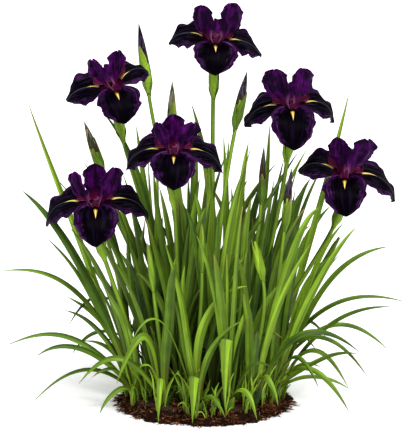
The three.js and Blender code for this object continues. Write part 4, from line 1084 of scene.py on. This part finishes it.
def petal(p, outline, ridge):
    """The midline is an arc from the angle rise to the angle droop. It begins at the distance start from the
    stem's axis and at the height level. Across it the margins bend back by hollow v², or up by gutter v² at
    the claw. They are waved by sines along u, finer and ragged near the edge, and folds run along the blade.
    Past the share straight of its length the blade turns about its midline by twist. ridge is the height of
    the crest along the throat."""
    u = np.sin(np.linspace(0, np.pi / 2, PETAL_ROWS))[:, None]
    v = np.sin(np.linspace(-1, 1, PETAL_COLUMNS) * np.pi / 2)[None, :]
    rise = math.radians(p["rise"])
    bend = (math.radians(p["droop"]) - rise) / p["length"]
    angle = rise + bend * p["length"] * u
    reach = p["start"] + (np.sin(angle) - math.sin(rise)) / bend
    height = p["level"] + (math.cos(rise) - np.cos(angle)) / bend
    blade = smooth((u - 0.15) / 0.35)
    half = p["half_width"] * outline(u)
    offset = np.where(v > 0, 0, 2.1)
    wave = p["wave"] * blade * v**2 * np.sin(2 * np.pi * p["waves"] * u + p["phase"] + offset)
    ruffle = 1.3 * blade * np.abs(v) ** 5 * np.sin(2 * np.pi * 5.1 * u + 2 * p["phase"] + 1.7 * offset)
    crest = ridge * np.exp(-((v * half / 2.2) ** 2)) * smooth((u - 0.04) / 0.1) * smooth((0.42 - u) / 0.14)
    groove = -0.5 * np.exp(-((v * half / 1.3) ** 2)) * smooth((u - 0.3) / 0.15)
    veins = 0.12 * blade * np.cos(v * 9 * np.pi) * (1 - v**2)
    folds = p["folds"] * blade * np.cos(2.3 * np.pi * v + p["phase"]) * smooth(2 * (1 - np.abs(v)))
    lift = (p["gutter"] * (1 - blade) - p["hollow"] * blade) * v**2
    lift = lift + wave + ruffle + crest + groove + veins + folds
    nicks = 0.5 * np.sin(2 * np.pi * 8.7 * u + 3 * p["phase"] + offset)
    nicks = nicks + 1.6 * np.sin(2 * np.pi * 3.4 * u + 2 * p["phase"] + 2 * offset)
    edge = 1 + p["ragged"] * blade * np.abs(v) ** 4 * nicks
    across = v * half * edge
    turn = math.radians(p["twist"]) * smooth((u - p["straight"]) / 0.4)
    side = across * np.cos(turn) - lift * np.sin(turn)
    above = across * np.sin(turn) + lift * np.cos(turn)
    out = reach - np.sin(angle) * above
    way = math.radians(p["azimuth"])
    points = np.stack(
        [
            out * math.cos(way) - side * math.sin(way),
            out * math.sin(way) + side * math.cos(way),
            height + np.cos(angle) * above,
        ],
        -1,
    )
    normals = unit(np.cross(np.gradient(points, axis=0), np.gradient(points, axis=1)))
    thickness = (0.35 + 0.75 * (1 - np.abs(v) ** 3)) * (1 - 0.35 * u)
    values = {"along": u, "across": v * half, "share": v, "signal": p["signal"], "lot": p["phase"]}
    return sheet(points, normals, thickness, **values)


def fall(number, i, bloom):
    """The i-th fall of a bloom in the bloom's own frame."""
    rise, droop, share, twist = bloom["falls"][i]
    p = {
        "azimuth": FALL_WAYS[i], "start": 6.3, "level": -1, "rise": rise, "droop": droop, "twist": twist,
        "straight": -0.2, "length": FALL_LENGTH * share, "hollow": 2.5 if i else 5,
        "gutter": 2.5 if i else 7, "wave": 3.2, "waves": 2.5,
        "half_width": FALL_HALF_WIDTH if i == 0 else SIDE_FALL_HALF_WIDTH, "phase": number * 1.7 + i * 2.3,
        "signal": 3.2 if i == 0 else 1.8, "folds": 0.5, "ragged": 0.03,
    }  # fmt: skip
    return petal(p, side_fall_outline if i else fall_outline, 1.1)


def standard(number, i, bloom):
    """The i-th standard of a bloom in the bloom's own frame."""
    rise, droop, share, half_width, twist = bloom["standards"][i]
    p = {
        "azimuth": STANDARD_WAYS[i], "start": 5.8, "level": 0, "rise": rise, "droop": droop, "twist": twist,
        "straight": 0.15, "length": STANDARD_LENGTH * share, "hollow": -3, "gutter": 1.2, "wave": 3.2,
        "waves": 1.9, "half_width": half_width, "phase": number * 2.9 + i * 1.3, "signal": 0,
        "folds": 1.8, "ragged": 0.055,
    }  # fmt: skip
    return petal(p, standard_outline, 0)


def cup():
    """The cup where the petals join: rings whose radius follows its profile of radius and height."""
    radius = np.array([5.2, 6.6, 8.2, 8.7, 8.7, 8.2, 7.0])
    height = np.array([-9.0, -6.5, -3.6, -1.8, 0.6, 2.4, 3.5])
    line = UP * height[:, None]
    points, faces = tube(line, radius, RIGHT, 24)
    zero = np.zeros(len(points))
    values = {"along": zero, "across": zero + 9, "share": zero + 0.5, "signal": zero, "lot": zero}
    return points, faces, values


def moved(part, frame_turn, at):
    """A part taken from a bloom's own frame to its place."""
    points, faces, values = part
    return points @ frame_turn.T + at, faces, values


# Fall: velvet of tiny upright cells that drinks nearly all light. Nearly black in the heart, with a narrow
# violet margin with painted pale glints, streaks of painted slate sheen along the veins of the side falls, a
# painted highlight along the midrib of each side fall, and the signal, a raised spear of yellow.
fall_finish, tree, shader = finish("fall_velvet", {"Roughness": 0.5, "IOR": 1.4, "Specular IOR Level": 0.02})
place = add(tree, "TexCoord", output="Object")
along = add(tree, "Attribute", output="Fac", attribute_name="along")
across = add(tree, "Attribute", output="Fac", attribute_name="across")
share = add(tree, "Attribute", output="Fac", attribute_name="share")
lot = add(tree, "Attribute", output="Fac", attribute_name="lot")
broadest = add(tree, "Attribute", output="Fac", attribute_name="signal")
off = add(tree, "Math", {0: across}, operation="ABSOLUTE")
vein = add(tree, "CombineXYZ", {0: share, 1: along, 2: lot})
drawn = add(tree, "VectorMath", {0: vein, 1: (7, 2.2, 1)}, operation="MULTIPLY")
streak = add(tree, "TexNoise", {"Vector": drawn, "Scale": 1, "Detail": 3})
drawn = add(tree, "VectorMath", {0: vein, 1: (22, 3, 1)}, operation="MULTIPLY")
fine = add(tree, "TexNoise", {"Vector": drawn, "Scale": 1, "Detail": 3})
cloud = add(tree, "TexNoise", {"Vector": place, "Scale": 1 / (8 * MM), "Detail": 3})
uneven = add(tree, "Math", {0: cloud, 1: 0.5}, operation="SUBTRACT")
broad = add(tree, "Math", {0: share}, operation="ABSOLUTE")
edge = add(tree, "Math", {0: broad, 1: uneven}, operation="ADD")
edge = add(tree, "MapRange", {"Value": edge, "From Min": 0.55, "From Max": 0.95}, **EASED)
fleck = add(tree, "MapRange", {"Value": fine, "From Min": 0.45, "From Max": 0.7}, **EASED)
violet = add(tree, "Mix", {0: fleck, 6: "#1c0426", 7: "#4c2058"}, 2, **COLOUR)
# Painted highlight: pale glints on the violet margin where the fine streak noise is high.
painted_glint = add(tree, "MapRange", {"Value": fine, "From Min": 0.6, "From Max": 0.76, "To Max": 0.5}, **EASED)
violet = add(tree, "Mix", {0: painted_glint, 6: violet, 7: "#7c6a90"}, 2, **COLOUR)
streak = add(tree, "MapRange", {"Value": streak, "From Min": 0.5, "From Max": 0.75}, **EASED)
velvet = add(tree, "Mix", {0: streak, 6: "#020004", 7: "#100618"}, 2, **COLOUR)
velvet = add(tree, "Mix", {0: edge, 6: velvet, 7: violet}, 2, **COLOUR)
# Painted sheen: slate streaks along the veins of the side falls stand for light reflected off the velvet.
side_fall = add(tree, "MapRange", {"Value": broadest, "From Min": 3, "From Max": 2.4})
painted_sheen = add(tree, "MapRange", {"Value": fine, "From Min": 0.52, "From Max": 0.72, "To Max": 0.6}, **EASED)
painted_sheen = add(tree, "Math", {0: painted_sheen, 1: side_fall}, operation="MULTIPLY")
velvet = add(tree, "Mix", {0: painted_sheen, 6: velvet, 7: "#2e2c3c"}, 2, **COLOUR)
# Painted highlight: a thin light line along the midrib of each side fall past its throat, where its fold
# catches the light.
rib = add(tree, "MapRange", {"Value": off, "From Min": 0.9, "From Max": 0.2, "To Max": 0.7}, **EASED)
past = add(tree, "MapRange", {"Value": along, "From Min": 0.4, "From Max": 0.5, "To Max": side_fall})
rib = add(tree, "Math", {0: rib, 1: past}, operation="MULTIPLY")
velvet = add(tree, "Mix", {0: rib, 6: velvet, 7: "#4a4656"}, 2, **COLOUR)
throat = add(tree, "MapRange", {"Value": along, "From Min": 0.24, "From Max": 0.06}, **EASED)
near = add(tree, "MapRange", {"Value": off, "From Min": 11, "From Max": 5}, **EASED)
throat = add(tree, "Math", {0: throat, 1: near}, operation="MULTIPLY")
velvet = add(tree, "Mix", {0: throat, 6: velvet, 7: "#40062c"}, 2, **COLOUR)
spear = add(tree, "MapRange", {"Value": along, "From Min": 0.48, "From Max": 0.24, "To Max": broadest})
inside = add(tree, "Math", {0: spear, 1: off}, operation="SUBTRACT")
inside = add(tree, "MapRange", {"Value": inside, "From Max": 0.5})
begun = add(tree, "MapRange", {"Value": along, "From Min": 0.19, "From Max": 0.23})
signal = add(tree, "Math", {0: inside, 1: begun}, operation="MULTIPLY")
flank = add(tree, "MapRange", {"Value": off, "From Min": 0.2, "From Max": 1.6})
yellow = add(tree, "Mix", {0: flank, 6: "#e8d27c", 7: "#b8841a"}, 2, **COLOUR)
velvet = add(tree, "Mix", {0: signal, 6: velvet, 7: yellow}, 2, **COLOUR)
pile = add(tree, "TexNoise", {"Vector": place, "Scale": 1 / (0.8 * MM), "Detail": 2})
bump = add(tree, "Bump", {"Height": pile, "Strength": 0.25, "Distance": 0.2 * MM})
tree.links.new(velvet, shader.inputs["Base Color"])
tree.links.new(bump, shader.inputs["Normal"])

# Standard: silkier than the falls, dark plum and purple in random patches that stand both for its own tone
# and for painted light and shade on its folds, painted highlights of brighter purple, darker veins, and a
# magenta claw whose margins are nearly white.
standard_finish, tree, shader = finish("standard_silk", {"Roughness": 0.5, "Specular IOR Level": 0.03})
place = add(tree, "TexCoord", output="Object")
along = add(tree, "Attribute", output="Fac", attribute_name="along")
share = add(tree, "Attribute", output="Fac", attribute_name="share")
lot = add(tree, "Attribute", output="Fac", attribute_name="lot")
vein = add(tree, "CombineXYZ", {0: share, 1: along, 2: lot})
drawn = add(tree, "VectorMath", {0: vein, 1: (2.6, 1.2, 1)}, operation="MULTIPLY")
streak = add(tree, "TexNoise", {"Vector": drawn, "Scale": 1, "Detail": 3})
drawn = add(tree, "VectorMath", {0: vein, 1: (16, 2, 1)}, operation="MULTIPLY")
fine = add(tree, "TexNoise", {"Vector": drawn, "Scale": 1, "Detail": 3})
cloud = add(tree, "TexNoise", {"Vector": place, "Scale": 1 / (11 * MM), "Detail": 2})
cloud = add(tree, "Math", {0: cloud, 1: 0.5}, operation="SUBTRACT")
# Random patches of the standard's own tone, also standing for painted light and shade on its folds: dark plum
# where low, purple where high.
tone_and_painted_light = add(tree, "Math", {0: streak, 1: cloud}, operation="ADD")
tone_and_painted_fold_light = add(tree, "MapRange", {"Value": tone_and_painted_light, "From Min": 0.4, "From Max": 0.62}, **EASED)
silk = add(tree, "Mix", {0: tone_and_painted_fold_light, 6: "#170220", 7: "#3a0446"}, 2, **COLOUR)
# Painted highlight: brighter purple where the patches are lightest.
painted_highlight = add(tree, "MapRange", {"Value": tone_and_painted_light, "From Min": 0.62, "From Max": 0.8}, **EASED)
silk = add(tree, "Mix", {0: painted_highlight, 6: silk, 7: "#4e0a5a"}, 2, **COLOUR)
line = add(tree, "MapRange", {"Value": fine, "From Min": 0.48, "From Max": 0.66, "To Max": 0.6}, **EASED)
silk = add(tree, "Mix", {0: line, 6: silk, 7: "#12021c"}, 2, **COLOUR)
claw = add(tree, "MapRange", {"Value": along, "From Min": 0.42, "From Max": 0.16}, **EASED)
silk = add(tree, "Mix", {0: claw, 6: silk, 7: "#500730"}, 2, **COLOUR)
broad = add(tree, "Math", {0: share}, operation="ABSOLUTE")
pale = add(tree, "MapRange", {"Value": broad, "From Min": 0.6, "From Max": 0.95, "To Max": 0.7}, **EASED)
pale = add(tree, "Math", {0: pale, 1: claw}, operation="MULTIPLY")
silk = add(tree, "Mix", {0: pale, 6: silk, 7: "#9a6092"}, 2, **COLOUR)
bump = add(tree, "Bump", {"Height": fine, "Strength": 0.4, "Distance": 0.3 * MM})
tree.links.new(silk, shader.inputs["Base Color"])
tree.links.new(bump, shader.inputs["Normal"])

for number, (place_turn, place_at) in enumerate(bloom_frames, 1):
    bloom = BLOOM_PETALS[number - 1]
    falls = [moved(fall(number, i, bloom), place_turn, place_at) for i in range(3)]
    falls.append(moved(cup(), place_turn, place_at))
    standards = [moved(standard(number, i, bloom), place_turn, place_at) for i in range(3)]
    piece(f"bloom_{number}_falls", falls, fall_finish, "petal", f"bloom_{number}_petals")
    piece(f"bloom_{number}_standards", standards, standard_finish, "petal", f"bloom_{number}_petals")

# ---------------------------------------------------------------- style arms
# Three crimson style arms arch out from the middle of each bloom over the throats of the falls. Each is
# ribbed along its back and ends in a crest of two upturned, toothed lobes.
STYLE_LENGTH = 30
STYLE_HALF_WIDTH = 6
STYLE_TWISTS = [0, 30, -30]
CREST = 5


def style_arm(bloom, i):
    """The arm is an arc over the inner part of its fall, rolled with it, with its margins bent down. Its last
    rows spread into the crest, where points move out and up by the lobe height, with teeth along the edge."""
    low, high = bloom["falls"][i][1], bloom["falls"][i][0]
    rise, droop = math.radians(high + 8), math.radians(high + 0.4 * (low - high))
    way, twist = FALL_WAYS[i], STYLE_TWISTS[i]
    bend = (droop - rise) / STYLE_LENGTH
    arm, crest = 30, 14
    u = np.concatenate([np.linspace(0, 0.95, arm), np.full(crest, 0.95)])[:, None]
    c = np.concatenate([np.zeros(arm), np.linspace(1 / crest, 1, crest)])[:, None]
    v = np.linspace(-1, 1, 29)[None, :]
    angle = rise + bend * STYLE_LENGTH * u
    reach = 0.8 + (np.sin(angle) - math.sin(rise)) / bend
    height = 7 + (math.cos(rise) - np.cos(angle)) / bend
    width = STYLE_HALF_WIDTH * (0.24 + 0.76 * smooth((u - 0.2) / 0.5)) * rounded(u, 0.75, 0.5, 2)
    spread = 1 + 0.45 * c
    ribs = 0.7 * np.cos(v * 4 * np.pi) * (1 - 0.5 * c)
    above = -2.2 * smooth((u - 0.15) / 0.35) * v**2 + ribs
    teeth = 1 + 0.22 * np.sin(v * 26) * c
    lobe = CREST * 1.5 * c * (0.3 + np.sin(np.pi * np.abs(v) ** 0.8) ** 0.7) * teeth
    turn = math.radians(twist) * smooth(u / 0.4)
    side = v * width * spread * np.cos(turn) - above * np.sin(turn)
    above = v * width * spread * np.sin(turn) + above * np.cos(turn)
    out = reach - np.sin(angle) * above + 0.3 * lobe - 1.2 * c * c * np.abs(v)
    way = math.radians(way)
    points = np.stack(
        [
            out * math.cos(way) - side * math.sin(way),
            out * math.sin(way) + side * math.cos(way),
            height + np.cos(angle) * above + lobe,
        ],
        -1,
    )
    normals = unit(np.cross(np.gradient(points, axis=0), np.gradient(points, axis=1)))
    return sheet(points, normals, 0.8 - 0.45 * c, along=u / 2 + c / 2, share=v)


def style_column():
    """The ribbed column that the arms part from, wider at its top."""
    rows, sides = 12, 36
    height = np.linspace(1, 13, rows)
    rib = 1 + 0.1 * np.cos(np.arange(sides) / sides * 18 * np.pi)
    radius = (4.9 + 1.4 * smooth((height - 3) / 8))[:, None] * rib
    points, faces = tube(UP * height[:, None], radius, RIGHT, sides)
    zero = np.zeros(len(points))
    share = np.append(np.tile(np.linspace(-2, 2, sides), rows), [0, 0])
    return points, faces, {"along": zero, "share": share}


# Style arm: thin crisp tissue, crimson on the arm and purple at the crest, with pale margins, a painted
# highlight along the top of each rib and painted shade in the grooves between the ribs.
style_finish, tree, shader = finish("style_arm", {"Roughness": 0.45, "IOR": 1.4, "Specular IOR Level": 0.1})
along = add(tree, "Attribute", output="Fac", attribute_name="along")
share = add(tree, "Attribute", output="Fac", attribute_name="share")
outer = add(tree, "MapRange", {"Value": along, "From Min": 0.4}, **EASED)
tissue = add(tree, "Mix", {0: outer, 6: "#4a0424", 7: "#360630"}, 2, **COLOUR)
# Painted light and shade on the ribs: lighter along their tops and nearly black in the grooves between them.
fan = add(tree, "Math", {0: share, 1: 4 * math.pi}, operation="MULTIPLY")
fan = add(tree, "Math", {0: fan}, operation="COSINE")
ridge = add(tree, "MapRange", {"Value": fan, "From Min": 0.3, "To Max": 0.4}, **EASED)
tissue = add(tree, "Mix", {0: ridge, 6: tissue, 7: "#6e1a4a"}, 2, **COLOUR)
groove_painted_shade = add(tree, "MapRange", {"Value": fan, "From Min": -0.1, "From Max": -1, "To Max": 0.8}, **EASED)
tissue = add(tree, "Mix", {0: groove_painted_shade, 6: tissue, 7: "#16020a"}, 2, **COLOUR)
broad = add(tree, "Math", {0: share}, operation="ABSOLUTE")
margin = add(tree, "MapRange", {"Value": broad, "From Min": 0.84, "From Max": 0.98, "To Max": 0.5}, **EASED)
tissue = add(tree, "Mix", {0: margin, 6: tissue, 7: "#96507e"}, 2, **COLOUR)
tree.links.new(tissue, shader.inputs["Base Color"])

for number, (place_turn, place_at) in enumerate(bloom_frames, 1):
    parts = [moved(style_arm(BLOOM_PETALS[number - 1], i), place_turn, place_at) for i in range(3)]
    parts.append(moved(style_column(), place_turn, place_at))
    piece(f"bloom_{number}_style_arms", parts, style_finish, "style", f"bloom_{number}_styles")

# ---------------------------------------------------------------- camera, floor and light
# A plain pale floor and soft studio light, with the camera a little above the blooms.
CAMERA_DISTANCE = 3500
LOOK_AT_HEIGHT = 287
LENS = 192.66
FLOOR_WIDTH = 60000
camera = bpy.data.objects.new("camera", bpy.data.cameras.new("camera"))
bpy.context.scene.collection.objects.link(camera)
camera.location = (
    0,
    -CAMERA_DISTANCE * math.cos(VIEW_FROM) * MM,
    (LOOK_AT_HEIGHT + CAMERA_DISTANCE * math.sin(VIEW_FROM)) * MM,
)
camera.rotation_euler = (math.pi / 2 - VIEW_FROM, 0, 0)
camera.data.sensor_width = 36
camera.data.lens = LENS
bpy.context.scene.camera = camera

floor_finish, tree, shader = finish("white_paper_floor", {"Roughness": 1.0, "Specular IOR Level": 0.0})
shader.inputs["Base Color"].default_value = linear("#f7f7f7")
shader.inputs["Emission Color"].default_value = linear("#ffffff")
shader.inputs["Emission Strength"].default_value = 0.3
bpy.ops.mesh.primitive_plane_add(size=FLOOR_WIDTH * MM, location=(0, 0, -0.2 * MM))
floor = bpy.context.object
floor.name = "floor"
floor.data.materials.append(floor_finish)

sun = bpy.data.objects.new("softbox", bpy.data.lights.new("softbox", "SUN"))
sun.data.energy = 3.7
sun.data.angle = math.radians(28)
sun.rotation_euler = (math.radians(29), math.radians(15), math.radians(-8))
bpy.context.scene.collection.objects.link(sun)
world = bpy.data.worlds.new("studio")
world.use_nodes = True
world.node_tree.nodes["Background"].inputs["Color"].default_value = (1, 1, 1, 1)
world.node_tree.nodes["Background"].inputs["Strength"].default_value = 0.5
bpy.context.scene.world = world
bpy.context.scene.view_settings.view_transform = "Standard"
